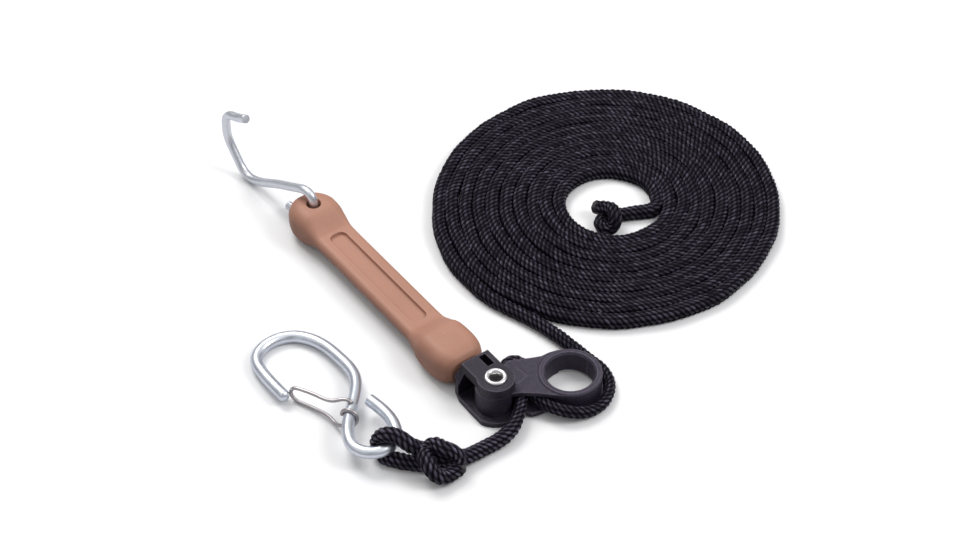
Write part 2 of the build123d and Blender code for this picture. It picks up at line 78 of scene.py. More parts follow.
LINK_ANGLE = math.radians(126.35)
LINK_ALONG = np.array((math.cos(LINK_ANGLE), math.sin(LINK_ANGLE)))
LINK_ACROSS = np.array((-LINK_ALONG[1], LINK_ALONG[0]))
LINK_SHIFT = 2.0                         # the link's middle line, across from the rivet
LINK_Z = 9.8                             # the link's mid height

# the CAD rivet fixes where the drawing lies in the scene
rivet_low, rivet_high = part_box("lock_rivet")
DRAWING_OFFSET = np.array(((rivet_low.x + rivet_high.x) * 500.0 - RIVET[0],
                           (rivet_low.y + rivet_high.y) * 500.0 - RIVET[1], 0.0))


def scene_point(x, y, z):
    """A drawing point as a scene vector in metres."""
    return Vector(((x + DRAWING_OFFSET[0]) / 1000, (y + DRAWING_OFFSET[1]) / 1000,
                   (z + DRAWING_OFFSET[2]) / 1000))


def link_points(along, across, z):
    """Drawing points from link coordinates: along and across the link from the rivet."""
    plan = [RIVET[k] + along * LINK_ALONG[k] + across * LINK_ACROSS[k] for k in (0, 1)]
    return np.stack(np.broadcast_arrays(*plan, z), -1)


def heading(degrees):
    """Level unit vector at an angle from +X."""
    return np.array((math.cos(math.radians(degrees)), math.sin(math.radians(degrees)), 0.0))


# ------------------------------------------------------------------ curves
SPLINE_STEP = 0.05
ARC_STEP = 0.1


def spline(points, start_dir=None, end_dir=None):
    """Dense points of the C2 cubic through points, with end directions if they are given."""
    p = np.array(points, float)
    count = len(p)
    knots = np.concatenate([[0], np.cumsum(np.linalg.norm(np.diff(p, axis=0), axis=1))])
    h = np.diff(knots)
    matrix = np.zeros((count, count))
    right = np.zeros((count, p.shape[1]))
    for i in range(1, count - 1):
        matrix[i, i - 1:i + 2] = h[i - 1], 2 * (h[i - 1] + h[i]), h[i]
        right[i] = 6 * ((p[i + 1] - p[i]) / h[i] - (p[i] - p[i - 1]) / h[i - 1])
    if start_dir is None:
        matrix[0, 0] = 1
    else:
        direction = np.array(start_dir, float) / np.linalg.norm(start_dir)
        matrix[0, :2] = 2 * h[0], h[0]
        right[0] = 6 * ((p[1] - p[0]) / h[0] - direction)
    if end_dir is None:
        matrix[-1, -1] = 1
    else:
        direction = np.array(end_dir, float) / np.linalg.norm(end_dir)
        matrix[-1, -2:] = h[-1], 2 * h[-1]
        right[-1] = 6 * (direction - (p[-1] - p[-2]) / h[-1])
    bend = np.linalg.solve(matrix, right)      # second derivative at each point
    out = []
    for i in range(count - 1):
        samples = max(2, int(h[i] / SPLINE_STEP))
        done = np.linspace(0, h[i], samples, endpoint=False)[:, None]
        left = h[i] - done
        out.append((bend[i] * left ** 3 + bend[i + 1] * done ** 3) / (6 * h[i])
                   + (p[i] / h[i] - bend[i] * h[i] / 6) * left
                   + (p[i + 1] / h[i] - bend[i + 1] * h[i] / 6) * done)
    out.append(p[-1:])
    return np.concatenate(out)


def arc(centre_x, centre_y, radius, start, end, z):
    """Level arc between two angles in radians."""
    count = max(3, int(abs(end - start) * radius / ARC_STEP))
    a = np.linspace(start, end, count)
    return np.stack([centre_x + radius * np.cos(a), centre_y + radius * np.sin(a),
                     np.full(count, z)], 1)


def join(*parts):
    """One path from several, without the doubled points where they meet."""
    out = [parts[0]]
    for part in parts[1:]:
        meets = np.linalg.norm(part[0] - out[-1][-1]) < 1e-3
        out.append(part[1:] if meets else part)
    return np.concatenate(out)


def even(path, step):
    """The path at equal spacing, and the length along it."""
    moved = np.linalg.norm(np.diff(path, axis=0), axis=1) > 1e-7
    path = path[np.concatenate([[True], moved])]
    travel = np.concatenate([[0], np.cumsum(np.linalg.norm(np.diff(path, axis=0), axis=1))])
    count = max(3, int(round(travel[-1] / step)) + 1)
    lengths = np.linspace(0, travel[-1], count)
    return np.stack([np.interp(lengths, travel, path[:, k]) for k in range(3)], 1), lengths


def frames(path):
    """Tangent, normal and side at each point, without twist. The first normal points up."""
    tangents = np.gradient(path, axis=0)
    tangents /= np.linalg.norm(tangents, axis=1)[:, None]
    first = tangents[0]
    n = np.array((0, 0, 1.0)) - first * first[2]
    if np.linalg.norm(n) < 0.05:           # the path starts upright
        n = np.array((1.0, 0, 0)) - first * first[0]
    n = n / np.linalg.norm(n)
    normals = np.zeros_like(path)
    normals[0] = n
    for i in range(1, len(path)):
        t = tangents[i]
        n = n - t * (n[0] * t[0] + n[1] * t[1] + n[2] * t[2])
        n = n / math.sqrt(n[0] * n[0] + n[1] * n[1] + n[2] * n[2])
        normals[i] = n
    return tangents, normals, np.cross(tangents, normals)


# ------------------------------------------------------------------ meshes
def mesh_from(name, points, quads, tris=(), uv=None, smooth=True):
    """A mesh object from drawing points and faces. uv holds one pair for each face corner."""
    points = (np.asarray(points, float) + DRAWING_OFFSET) / 1000.0
    tris = np.asarray(tris, int).reshape(-1, 3)
    quads = np.asarray(quads, int).reshape(-1, 4)
    corners = np.concatenate([quads.ravel(), tris.ravel()]).astype(np.int32)
    starts = np.concatenate([np.arange(len(quads)) * 4,
                             len(quads) * 4 + np.arange(len(tris)) * 3]).astype(np.int32)
    mesh = bpy.data.meshes.new(name)
    mesh.vertices.add(len(points))
    mesh.vertices.foreach_set("co", points.astype(np.float32).ravel())
    mesh.loops.add(len(corners))
    mesh.loops.foreach_set("vertex_index", corners)
    mesh.polygons.add(len(starts))
    mesh.polygons.foreach_set("loop_start", starts)
    mesh.update(calc_edges=True)
    if uv is not None:
        layer = mesh.uv_layers.new(name="Strand")
        layer.data.foreach_set("uv", np.asarray(uv, np.float32).ravel())
    mesh.validate()
    if smooth:
        mesh.polygons.foreach_set("use_smooth", np.ones(len(mesh.polygons), bool))
    ob = bpy.data.objects.new(name, mesh)
    bpy.context.scene.collection.objects.link(ob)
    return ob


def ring_quads(rows, next_rows, ring_size):
    """Quads between each ring in rows and its partner in next_rows."""
    j = np.arange(ring_size)
    j_next = (j + 1) % ring_size
    here = rows[:, None] * ring_size
    there = next_rows[:, None] * ring_size
    return np.stack([here + j, here + j_next, there + j_next, there + j], -1).reshape(-1, 4)


def ring_uv(along, around):
    """UV pairs for the corners of ring_quads: along from ring to ring, around in each ring."""
    uv = np.zeros((len(along) - 1, len(around) - 1, 4, 2))
    uv[:, :, :2, 0] = along[:-1, None, None]
    uv[:, :, 2:, 0] = along[1:, None, None]
    uv[:, :, [0, 3], 1] = around[:-1, None]
    uv[:, :, 1:3, 1] = around[1:, None]
    return uv.reshape(-1, 2)


def skin(name, rings, lengths=None, braiding=None, smooth=True):
    """Quads over a stack of rings (count, ring size, 3), closed by a fan at both ends.

    lengths gives the UV map's u. braiding is the (lift, shade) pair of each ring point."""
    count, size = rings.shape[:2]
    rows = np.arange(count - 1)
    quads = ring_quads(rows, rows + 1, size)
    points = np.concatenate([rings.reshape(-1, 3), [rings[0].mean(0), rings[-1].mean(0)]])
    first_centre, last_centre = count * size, count * size + 1
    j = np.arange(size)
    j_next = (j + 1) % size
    last = (count - 1) * size
    tris = np.concatenate([np.stack([np.full(size, first_centre), j_next, j], 1),
                           np.stack([np.full(size, last_centre), last + j, last + j_next], 1)])
    uv = None
    if lengths is not None:
        cap_uv = np.zeros((2 * size, 3, 2))
        cap_uv[:size, :, 0] = lengths[0]
        cap_uv[size:, :, 0] = lengths[-1]
        side_uv = ring_uv(lengths, np.arange(size + 1) / size)
        uv = np.concatenate([side_uv, cap_uv.reshape(-1, 2)])
    ob = mesh_from(name, points, quads, tris, uv, smooth)
    if braiding is not None:
        for label, values, at_caps in zip(("lift", "shade"), braiding, (0.2, 0.5)):
            attribute = ob.data.attributes.new(label, "FLOAT", "POINT")
            values = np.concatenate([values.ravel(), [at_caps, at_caps]])
            attribute.data.foreach_set("value", values.astype(np.float32))
    return ob


def flip_out(ob):
    """Turns all face normals outwards."""
    bm = bmesh.new()
    bm.from_mesh(ob.data)
    bmesh.ops.recalc_face_normals(bm, faces=bm.faces)
    bm.to_mesh(ob.data)
    bm.free()


def lathe(name, profile, centre, segments):
    """Revolves (radius, height) pairs that go once round a closed section."""
    profile = np.array(profile, float)
    a = np.linspace(0, 2 * math.pi, segments, endpoint=False)
    points = np.stack([centre[0] + profile[:, None, 0] * np.cos(a),
                       centre[1] + profile[:, None, 0] * np.sin(a),
                       np.repeat(profile[:, 1:2], segments, 1)], -1).reshape(-1, 3)
    rows = np.arange(len(profile))
    quads = ring_quads(rows, (rows + 1) % len(profile), segments)
    travel = np.concatenate([[0], np.cumsum(np.linalg.norm(np.diff(profile, axis=0), axis=1))])
    uv = ring_uv(np.append(travel, travel[-1]) / 20, np.append(a, 2 * math.pi) * 8)
    # u runs round the axis here, and v along the profile
    ob = mesh_from(name, points, quads, uv=uv[:, ::-1])
    flip_out(ob)
    return ob


def wire(name, path, radius, ring_size, step, end_round, dents, seed, start_round=None):
    """Round wire along a path, its ends rounded, with the faint waviness that bending leaves."""
    p, lengths = even(path, step)
    _, normals, sides = frames(p)
    total = lengths[-1]
    if start_round is None:
        start_round = end_round
    angles = np.linspace(0, 2 * math.pi, ring_size, endpoint=False)
    across, up = np.cos(angles)[:, None], np.sin(angles)[:, None]
    rng = np.random.RandomState(seed)
    wobble = sum(rng.uniform(-1, 1)
                 * np.sin(lengths * rng.uniform(0.05, 0.35) + rng.uniform(0, 6))
                 for _ in range(6)) / 6
    radii = np.full(len(p), radius) * (1 + dents * wobble)
    rings, ring_lengths = [], []

    def add_ring(length, centre, ring_radius, i):
        rings.append(centre + ring_radius * (across * normals[i] + up * sides[i]))
        ring_lengths.append(length)

    def add_end_ring(length, ring_radius):
        centre = np.array([np.interp(length, lengths, p[:, k]) for k in range(3)])
        i = min(len(lengths) - 1, int(np.searchsorted(lengths, length)))
        add_ring(length, centre, ring_radius, i)

    quarter = np.linspace(0, math.pi / 2, 7)
    for a in quarter[:-1]:
        add_end_ring(start_round * (1 - math.cos(a)),
                     radius - start_round + start_round * math.sin(a))
    for i in np.where((lengths >= start_round) & (lengths <= total - end_round))[0]:
        add_ring(lengths[i], p[i], radii[i], i)
    for a in quarter[1:]:
        add_end_ring(total - end_round + end_round * math.sin(a),
                     radius - end_round + end_round * math.cos(a))
    return skin(name, np.array(rings), np.array(ring_lengths))


def apply_modifiers(ob):
    graph = bpy.context.evaluated_depsgraph_get()
    mesh = bpy.data.meshes.new_from_object(ob.evaluated_get(graph), depsgraph=graph)
    ob.modifiers.clear()
    old = ob.data
    ob.data = mesh
    bpy.data.meshes.remove(old)


def soften(ob, voxel, rounds):
    """Remeshes at an even size and relaxes it, so every moulded edge gets a small radius."""
    remesh = ob.modifiers.new("Remesh", "REMESH")
    remesh.mode = "VOXEL"
    remesh.voxel_size = voxel / 1000
    apply_modifiers(ob)
    relax = ob.modifiers.new("Relax", "SMOOTH")
    relax.factor = 0.5
    relax.iterations = rounds
    apply_modifiers(ob)
    ob.data.polygons.foreach_set("use_smooth", np.ones(len(ob.data.polygons), bool))
    ob.data.update()


# ------------------------------------------------------------------ shader nodes
class Shader:
    """The node tree of a material or world, with short calls for the nodes used here.

    Wherever an input takes a value, it takes the output socket of another node too."""

    def __init__(self, owner, output="OutputMaterial", surface="BsdfPrincipled"):
        self.owner = owner
        owner.use_nodes = True
        self.tree = owner.node_tree
        self.tree.nodes.clear()
        out = self.node(output)
        self.surface = self.node(surface)
        self.feed(out.inputs[0], self.surface.outputs[0])

    def feed(self, socket, value):
        """Links or sets one input. None leaves it alone, and colours get their alpha here."""
        if value is None:
            return
        if isinstance(value, bpy.types.NodeSocket):
            self.tree.links.new(value, socket)
        elif isinstance(value, tuple) and socket.type == "RGBA":
            socket.default_value = (*value, 1)
        else:
            socket.default_value = value

    def node(self, kind, inputs=None, **settings):
        node = self.tree.nodes.new("ShaderNode" + kind)
        for key, value in settings.items():
            setattr(node, key, value)
        for key, value in (inputs or {}).items():
            self.feed(node.inputs[key], value)
        return node

    def finish(self, inputs):
        """Sets the surface's inputs and returns the material or world."""
        for key, value in inputs.items():
            self.feed(self.surface.inputs[key], value)
        return self.owner

    def object_coords(self):
        return self.node("TexCoord").outputs["Object"]

    def strand_uv(self):
        return self.node("UVMap", uv_map="Strand").outputs[0]

    def attribute(self, name):
        return self.node("Attribute", attribute_name=name).outputs["Fac"]

    def pointiness(self):
        return self.node("NewGeometry").outputs["Pointiness"]

    def mapping(self, vector, **inputs):
        return self.node("Mapping", {"Vector": vector, **inputs}).outputs[0]

    def noise(self, vector, scale, detail=3.0, roughness=0.5, distortion=0.0):
        return self.node("TexNoise", {"Scale": scale, "Detail": detail, "Roughness": roughness,
                                      "Distortion": distortion, "Vector": vector}).outputs["Fac"]

    def ramp(self, factor, stops):
        """Colour ramp through (position, colour) stops."""
        node = self.node("ValToRGB", {"Fac": factor})
        elements = node.color_ramp.elements
        while len(elements) < len(stops):
            elements.new(0.5)
        for k, (position, colour) in enumerate(stops):
            elements[k].position = position
            elements[k].color = (*colour, 1)
        return node.outputs["Color"]

    def mask(self, factor, zero, one):
        """Black where factor is at zero, white where it is at one."""
        return self.ramp(factor, sorted([(zero, (0, 0, 0)), (one, (1, 1, 1))]))

    def math(self, operation, first, second=None, clamp=False):
        return self.node("Math", {0: first, 1: second}, operation=operation,
                         use_clamp=clamp).outputs[0]

    def add(self, first, second, clamp=False):
        return self.math("ADD", first, second, clamp)

    def multiply(self, first, by, clamp=False):
        return self.math("MULTIPLY", first, by, clamp)

    def spread(self, factor, zero, one):
        """Runs from zero to one, the values given, as factor goes from 0 to 1."""
        return self.add(self.multiply(factor, one - zero), zero)

    def mix(self, base, over, factor, mode="MIX"):
        """Colour mix. Sockets 6 and 7 and output 2 are the colour ones."""
        return self.node("Mix", {0: factor, 6: base, 7: over}, data_type="RGBA",
                         blend_type=mode).outputs[2]

    def bump(self, height, strength, distance, normal=None):
        return self.node("Bump", {"Strength": strength, "Distance": distance, "Height": height,
                                  "Normal": normal}).outputs["Normal"]


def new_shader(name):
    return Shader(bpy.data.materials.new(name))


def scaled(colour, by):
    return tuple(by * c for c in colour)


# ------------------------------------------------------------------ materials
# (lift of the braid, colour); the dark low stops are painted shade between the stitches
ROPE_TONES_PAINTED_GAP_SHADE = [(0.0, (0.0010, 0.0009, 0.0013)), (0.42, (0.0030, 0.0025, 0.0043)),
              (0.68, (0.0150, 0.0122, 0.0220)), (0.92, (0.0600, 0.0495, 0.0860))]
ROPE_GIRTH = 19.95                       # turns the UV map's v into millimetres


def rope_material(name, gain):
    """Braided rope, with painted shade that darkens it between its stitches. gain lifts its
    tone, as painted light, and its gloss.
    """
    mat = new_shader(name)
    lift = mat.attribute("lift")
    stitch = mat.attribute("shade")
    place = mat.object_coords()
    # filaments run along each slanting stitch
    strand = mat.mapping(mat.strand_uv(), Scale=(1.0, ROPE_GIRTH, 1.0))
    strand = mat.mapping(strand, Rotation=(0, 0, math.radians(32)))
    strand = mat.mapping(strand, Scale=(0.55, 7.0, 1.0))
    filament = mat.noise(strand, scale=1.0, detail=2.0, roughness=0.6)
    blotch = mat.noise(place, scale=130.0, roughness=0.6)
    fuzz = mat.noise(place, scale=2600.0, detail=2.0, roughness=0.6)

    # painted shade: the lower the braid lies, between the stitches, the darker it is painted
    tone = mat.ramp(lift, [(at, scaled(colour, by=gain)) for at, colour in ROPE_TONES_PAINTED_GAP_SHADE])
    tone = mat.mix(tone, (0.008, 0.0068, 0.0115), factor=mat.spread(blotch, zero=0.0, one=0.30))
    # painted sheen: a pale streak is added along the filaments in place of their reflections
    painted_sheen = mat.mix(tone, (0.05, 0.047, 0.06), factor=0.5, mode="ADD")
    tone = mat.mix(tone, painted_sheen, factor=mat.multiply(filament, by=0.5))
    tone = mat.mix(tone, scaled((0.0034, 0.0028, 0.0048), by=gain),
                   factor=mat.spread(stitch, zero=0.66, one=0.06))
    rough = mat.add(mat.spread(filament, zero=0.16, one=0.36),
                    mat.spread(stitch, zero=0.12, one=0.0))
    gloss = mat.spread(stitch, zero=0.30 * gain, one=0.66 * gain)
    relief = mat.add(mat.multiply(filament, by=1.0), mat.multiply(fuzz, by=0.25))
    return mat.finish({
        "Base Color": tone,
        "Roughness": mat.add(rough, mat.multiply(fuzz, by=0.06), clamp=True),
        "Specular IOR Level": mat.multiply(mat.multiply(lift, by=lift), by=gloss),
        "Tangent": mat.node("Tangent", direction_type="UV_MAP", uv_map="Strand").outputs[0],
        "Anisotropic": 0.75,
        "Anisotropic Rotation": mat.spread(stitch, zero=0.06, one=0.16),
        "Specular Tint": (0.90, 0.82, 1.0),
        "Sheen Weight": 0.015,
        "Sheen Roughness": 0.4,
        "Sheen Tint": (0.75, 0.72, 0.9),
        "Normal": mat.bump(relief, strength=0.55, distance=0.00022)})


def melt_material():
    """Wrinkled melted plastic."""
    mat = new_shader("melted_rope_end")
    place = mat.object_coords()
    wrinkle = mat.noise(place, scale=700.0, detail=4.0, roughness=0.6, distortion=0.6)
    patch = mat.noise(place, scale=240.0, detail=2.0)
    return mat.finish({
        "Base Color": mat.ramp(wrinkle, [(0.25, (0.004, 0.0037, 0.005)),
                                         (0.75, (0.020, 0.018, 0.024))]),
        "Roughness": mat.spread(patch, zero=0.25, one=0.5),
        "Normal": mat.bump(wrinkle, strength=0.7, distance=0.0005)})


def nylon_material(name, tint):
    """Grained nylon, mottled, with pale edges that are partly scuffs and partly painted
    highlight.
    """
    mat = new_shader(name)
    place = mat.object_coords()
    grain = mat.noise(place, scale=950.0, detail=4.0, roughness=0.75)
    soft = mat.noise(place, scale=620.0, detail=4.0, roughness=0.65, distortion=0.4)
    flow = mat.noise(place, scale=90.0, distortion=0.8)
    edge = mat.mask(mat.pointiness(), zero=0.5015, one=0.520)
    scuff_and_painted_highlight = mat.multiply(edge, by=mat.spread(soft, zero=0.1, one=0.9), clamp=True)

    base = mat.ramp(flow, [(0.25, scaled(tint, by=0.82)), (0.75, scaled(tint, by=1.2))])
    mottle = mat.mask(grain, zero=0.36, one=0.64)
    light = mat.mix(base, scaled(tint, by=2.0), factor=0.5)
    base = mat.mix(scaled(tint, by=0.62), light, factor=mottle)
    # pale edges: partly scuffs, partly painted highlight on the edges
    base = mat.mix(base, (0.150, 0.132, 0.165), factor=mat.multiply(scuff_and_painted_highlight, by=0.75))
    coarse = mat.bump(grain, strength=0.85, distance=0.00040)
    return mat.finish({
        "Base Color": base,
        "Roughness": mat.add(mat.spread(flow, zero=0.20, one=0.32),
                             mat.multiply(soft, by=0.16)),
        "Specular IOR Level": 0.42,
        "Specular Tint": (0.92, 0.85, 1.0),
        "Normal": mat.bump(soft, strength=0.50, distance=0.00035, normal=coarse)})


def rubber_material():
    """Tan rubber with dark specks and a parting line half way up the link."""
    mat = new_shader("tan_moulded_rubber")
    place = mat.object_coords()
    big = mat.noise(place, scale=28.0, distortion=0.4)
    middle = mat.noise(place, scale=210.0, detail=4.0, roughness=0.6)
    fine = mat.noise(place, scale=3800.0, detail=2.0, roughness=0.6)
    pointiness = mat.pointiness()

    base = mat.ramp(big, [(0.2, (0.344, 0.160, 0.104)), (0.5, (0.382, 0.181, 0.122)),
                          (0.8, (0.422, 0.203, 0.141))])
    base = mat.mix(base, (0.54, 0.285, 0.208), factor=mat.spread(middle, zero=0.0, one=0.26))
    edge = mat.mask(pointiness, zero=0.49, one=0.53)
    # painted shade: darker in the hollows, where shade falls
    hollow_shade = mat.mask(pointiness, zero=0.4975, one=0.455)
    base = mat.mix(base, (0.66, 0.39, 0.29), factor=mat.multiply(edge, by=0.20))
    base = mat.mix(base, (0.30, 0.135, 0.085), factor=mat.multiply(hollow_shade, by=0.42))
    cells = mat.node("TexVoronoi", {"Scale": 420.0, "Vector": place})
    speck = mat.math("LESS_THAN", cells.outputs["Distance"], 0.075)      # speck radius
    base = mat.mix(base, (0.27, 0.13, 0.09), factor=mat.multiply(speck, by=0.28))

    height = mat.node("SeparateXYZ", {0: place}).outputs["Z"]
    from_line = mat.math("ABSOLUTE", mat.math("SUBTRACT", height, LINK_Z / 1000))
    line = mat.mask(mat.multiply(from_line, by=1000.0), zero=0.28, one=0.0)
    relief = mat.add(mat.multiply(line, by=1.0), mat.multiply(middle, by=0.35))
    coarse = mat.bump(relief, strength=0.5, distance=0.00018)
    return mat.finish({
        "Base Color": base,
        "Roughness": mat.spread(middle, zero=0.46, one=0.60),
        "Subsurface Weight": 0.06,
        "Subsurface Radius": (0.004, 0.002, 0.001),
        "Subsurface Scale": 0.4,
        "Specular IOR Level": 0.42,
        "Normal": mat.bump(fine, strength=0.22, distance=0.00010, normal=coarse)})


def steel_material(name, colour, roughness):
    """Metal with drawing lines along the wire, and painted shade that darkens its hollows."""
    mat = new_shader(name)
    place = mat.object_coords()
    drawn = mat.mapping(mat.strand_uv(), Scale=(0.35, 60.0, 1.0))
    lines = mat.noise(drawn, scale=1.0, detail=2.0)
    cloud = mat.noise(place, scale=160.0, detail=4.0, roughness=0.6)
    fine = mat.noise(place, scale=2400.0, roughness=0.6)

    bright = tuple(min(1, c) for c in scaled(colour, by=1.06))
    base = mat.ramp(cloud, [(0.25, scaled(colour, by=0.90)), (0.7, bright)])
    base = mat.mix(base, scaled(colour, by=0.78), factor=mat.spread(lines, zero=0.0, one=0.22))
    # painted shade: darker in the hollows, where shade falls
    hollow_shade = mat.mask(mat.pointiness(), zero=0.48, one=0.43)
    base = mat.mix(base, scaled(colour, by=0.45), factor=mat.multiply(hollow_shade, by=0.3))
    rough = mat.spread(cloud, zero=roughness - 0.05, one=roughness + 0.10)
    normal = mat.bump(cloud, strength=0.10, distance=0.00030)
    normal = mat.bump(lines, strength=0.10, distance=0.00006, normal=normal)
    return mat.finish({
        "Metallic": 1.0,
        "Base Color": base,
        "Roughness": mat.add(rough, mat.multiply(fine, by=0.05), clamp=True),
        "Normal": mat.bump(fine, strength=0.08, distance=0.00005, normal=normal)})


ROPE = rope_material("braided_black_polypropylene", gain=1.0)
# painted light: the same rope with its tone lifted, for the lead and its knot, which get less
# light than the top of the coil
ROPE_LEAD_PAINTED_LIGHTER = rope_material("braided_black_polypropylene_lead_painted_lighter", gain=1.5)
MELT = melt_material()
LEVER_NYLON = nylon_material("charcoal_nylon_lever", tint=(0.0240, 0.0192, 0.0335))
HOUSING_NYLON = nylon_material("charcoal_nylon_housing", tint=(0.0096, 0.0074, 0.0132))
RUBBER = rubber_material()
ZINC = steel_material("zinc_plated_steel", colour=(0.80, 0.84, 0.91), roughness=0.27)
HOOK_ZINC = steel_material("zinc_plated_steel_hook", colour=(0.80, 0.82, 0.87), roughness=0.32)
SPRING = steel_material("spring_wire", colour=(0.50, 0.47, 0.48), roughness=0.32)
RIVET_STEEL = steel_material("bright_rivet_steel", colour=(0.86, 0.84, 0.84), roughness=0.24)


def paint(ob, material):
    ob.data.materials.clear()
    ob.data.materials.append(material)


def dress(ob, material):
    paint(ob, material)
    return ob


# ------------------------------------------------------------------ rope: the coil
COIL_PITCH, COIL_RADIUS, COIL_TURNS = 6.485, 22.81, 9.656
COIL_ANGLE = COIL_TURNS * 2 * math.pi
BULGE_FROM_TURN = 3.5                    # the outer turns bulge to one side
BULGE_HEIGHT, BULGE_AT, BULGE_WIDTH = 3.6, 228.0, 46.0         # mm, degrees, degrees
SHIFT, SHIFT_TURNS, SHIFT_AT = 1.3, 5.0, math.radians(48)      # the inner turns lie off centre
INNER_BEND_RADIUS = 6.5                  # the rope turns in from the coil to its stopper knot
INNER_BEND_START = math.radians(-80)
INNER_STRAIGHT = 10.2


def support(phi):
    """Support function of the coil: how far out the rope lies in direction phi."""
    turns = phi / (2 * math.pi)
    grow = max(0.0, turns - BULGE_FROM_TURN) / (COIL_TURNS - BULGE_FROM_TURN)
    away = (math.degrees(phi) - BULGE_AT + 180.0) % 360.0 - 180.0
    shift = SHIFT * max(0.0, 1.0 - turns / SHIFT_TURNS) * math.cos(phi - SHIFT_AT)
    bulge = BULGE_HEIGHT * grow * math.exp(-(away / BULGE_WIDTH) ** 2)
    return COIL_RADIUS + COIL_PITCH * turns + bulge + shift


def bend_radius(phi, h=0.02):
    """Radius of curvature of the curve that support describes."""
    return support(phi) + (support(phi + h) - 2 * support(phi) + support(phi - h)) / h ** 2


def coil_path():
    """The coil as arcs of at most 30 degrees, each with the mean bend radius of its stretch."""
    arcs = []
    x, y = support(0.0), 0.0
    count = int(math.ceil(COIL_ANGLE / math.radians(30)))
    for k in range(count):
        start, end = COIL_ANGLE * k / count, COIL_ANGLE * (k + 1) / count
        radius = sum(bend_radius(start + (end - start) * (j + 0.5) / 8) for j in range(8)) / 8
        arcs.append(arc(x - radius * math.cos(start), y - radius * math.sin(start), radius,
                        start, end, ROPE_RADIUS))
        x, y = arcs[-1][-1][:2]
    return join(*arcs)


coil = coil_path()
coil_exit = coil[-1]
coil_exit_dir = heading(math.degrees(COIL_ANGLE) % 360 + 90 - 360)
inner_bend = arc(support(0.0) - INNER_BEND_RADIUS, 0.0, INNER_BEND_RADIUS,
                 INNER_BEND_START, 0.0, ROPE_RADIUS)
inner_dir = np.array((-math.sin(INNER_BEND_START), math.cos(INNER_BEND_START), 0))
knot_exit = inner_bend[0] - inner_dir * INNER_STRAIGHT

# the stopper knot: an overhand turn whose end pokes out beside it
STOPPER_KNOT = [
    (-5.9, -7.0, 6.4), (-2.2, -9.2, 8.4), (0.9, -12.8, 9.8), (1.8, -17.6, 9.2),
    (0.8, -19.4, 5.4), (-2.6, -19.2, 3.5), (-5.2, -15.8, 3.4), (-3.3, -11.1, 3.4),
    (1.3, -9.0, 3.25)]
stopper_knot = spline(STOPPER_KNOT + [tuple(knot_exit)], end_dir=inner_dir)

# ------------------------------------------------------------------ rope: ring, lock and lead
RING_CENTRE = np.array((-22.8, -124.9))
RING_RADIUS, RING_GAP = 15.1, 0.25
WRAP_RADIUS = RING_RADIUS + RING_GAP + ROPE_RADIUS
WRAP_START, WRAP_END = 43.5, -48.0       # degrees round the ring
WRAP_Z = 3.2
TAIL_LENGTH = 21.5                       # straight run before the ring
LOCK_Z = 6.34                            # rope height through the lock
TURN_CENTRE, TURN_RADIUS = np.array((-48.6, -116.0, LOCK_Z)), 3.75    # U-turn in the lock
LOCK_DIR = heading(105.0)                # direction into the U-turn
LOCK_SIDE = np.array((LOCK_DIR[1], -LOCK_DIR[0], 0.0))
LEAD_EXIT = np.array((-45.7, -139.4, LOCK_Z))
LEAD_DIR = np.array((-0.13, -0.9915, 0.0))
LEAD_POINTS = [                          # down to the hook, through its eye, and the knot
    (-46.8, -146.2, 6.3), (-49.3, -152.6, 5.4), (-54.4, -158.6, 4.2), (-61.6, -163.8, 3.8),
    (-68.4, -168.6, 4.3), (-75.2, -172.2, 5.4), (-80.7, -172.6, 6.6), (-85.7, -171.2, 7.4),
    (-91.1, -170.4, 9.8), (-96.0, -171.0, 13.4), (-101.4, -168.6, 16.2), (-106.5, -166.7, 15.4),
    (-110.2, -165.2, 11.0), (-110.7, -165.8, 6.4), (-108.2, -168.4, 3.8), (-103.2, -171.0, 3.6),
    (-98.0, -172.6, 3.6), (-92.8, -173.4, 3.6), (-87.5, -173.8, 3.4), (-82.1, -173.6, 3.3),
    (-77.3, -175.0, 4.4), (-74.1, -174.4, 7.4), (-76.2, -173.4, 10.8), (-80.7, -172.6, 12.8),
    (-85.7, -169.7, 11.8), (-89.2, -171.8, 10.4), (-88.2, -178.9, 10.6), (-84.9, -182.7, 7.4),
    (-80.4, -182.1, 4.5), (-76.9, -179.4, 4.0), (-73.9, -176.9, 4.2)]
LOOP_START, LOOP_END = LEAD_POINTS[8], LEAD_POINTS[17]     # the loop through the hook's eye


def ring_point(degrees, z):
    """Rope centre where it lies round the ring."""
    a = math.radians(degrees)
    return np.array((RING_CENTRE[0] + WRAP_RADIUS * math.cos(a),
                     RING_CENTRE[1] + WRAP_RADIUS * math.sin(a), z))


wrap_start = ring_point(WRAP_START, WRAP_Z)
tail_dir = heading(WRAP_START - 90)
tail_start = wrap_start - tail_dir * TAIL_LENGTH
before_tail = tail_start - tail_dir * 3.4
tail_out = spline([coil_exit, (before_tail[0], before_tail[1], 3.19), tail_start],
                  start_dir=coil_exit_dir, end_dir=tail_dir)
ring_wrap = np.array([ring_point(a, WRAP_Z) for a in np.linspace(WRAP_START, WRAP_END, 300)])

turn_in = TURN_CENTRE + LOCK_SIDE * TURN_RADIUS
turn_out = TURN_CENTRE - LOCK_SIDE * TURN_RADIUS
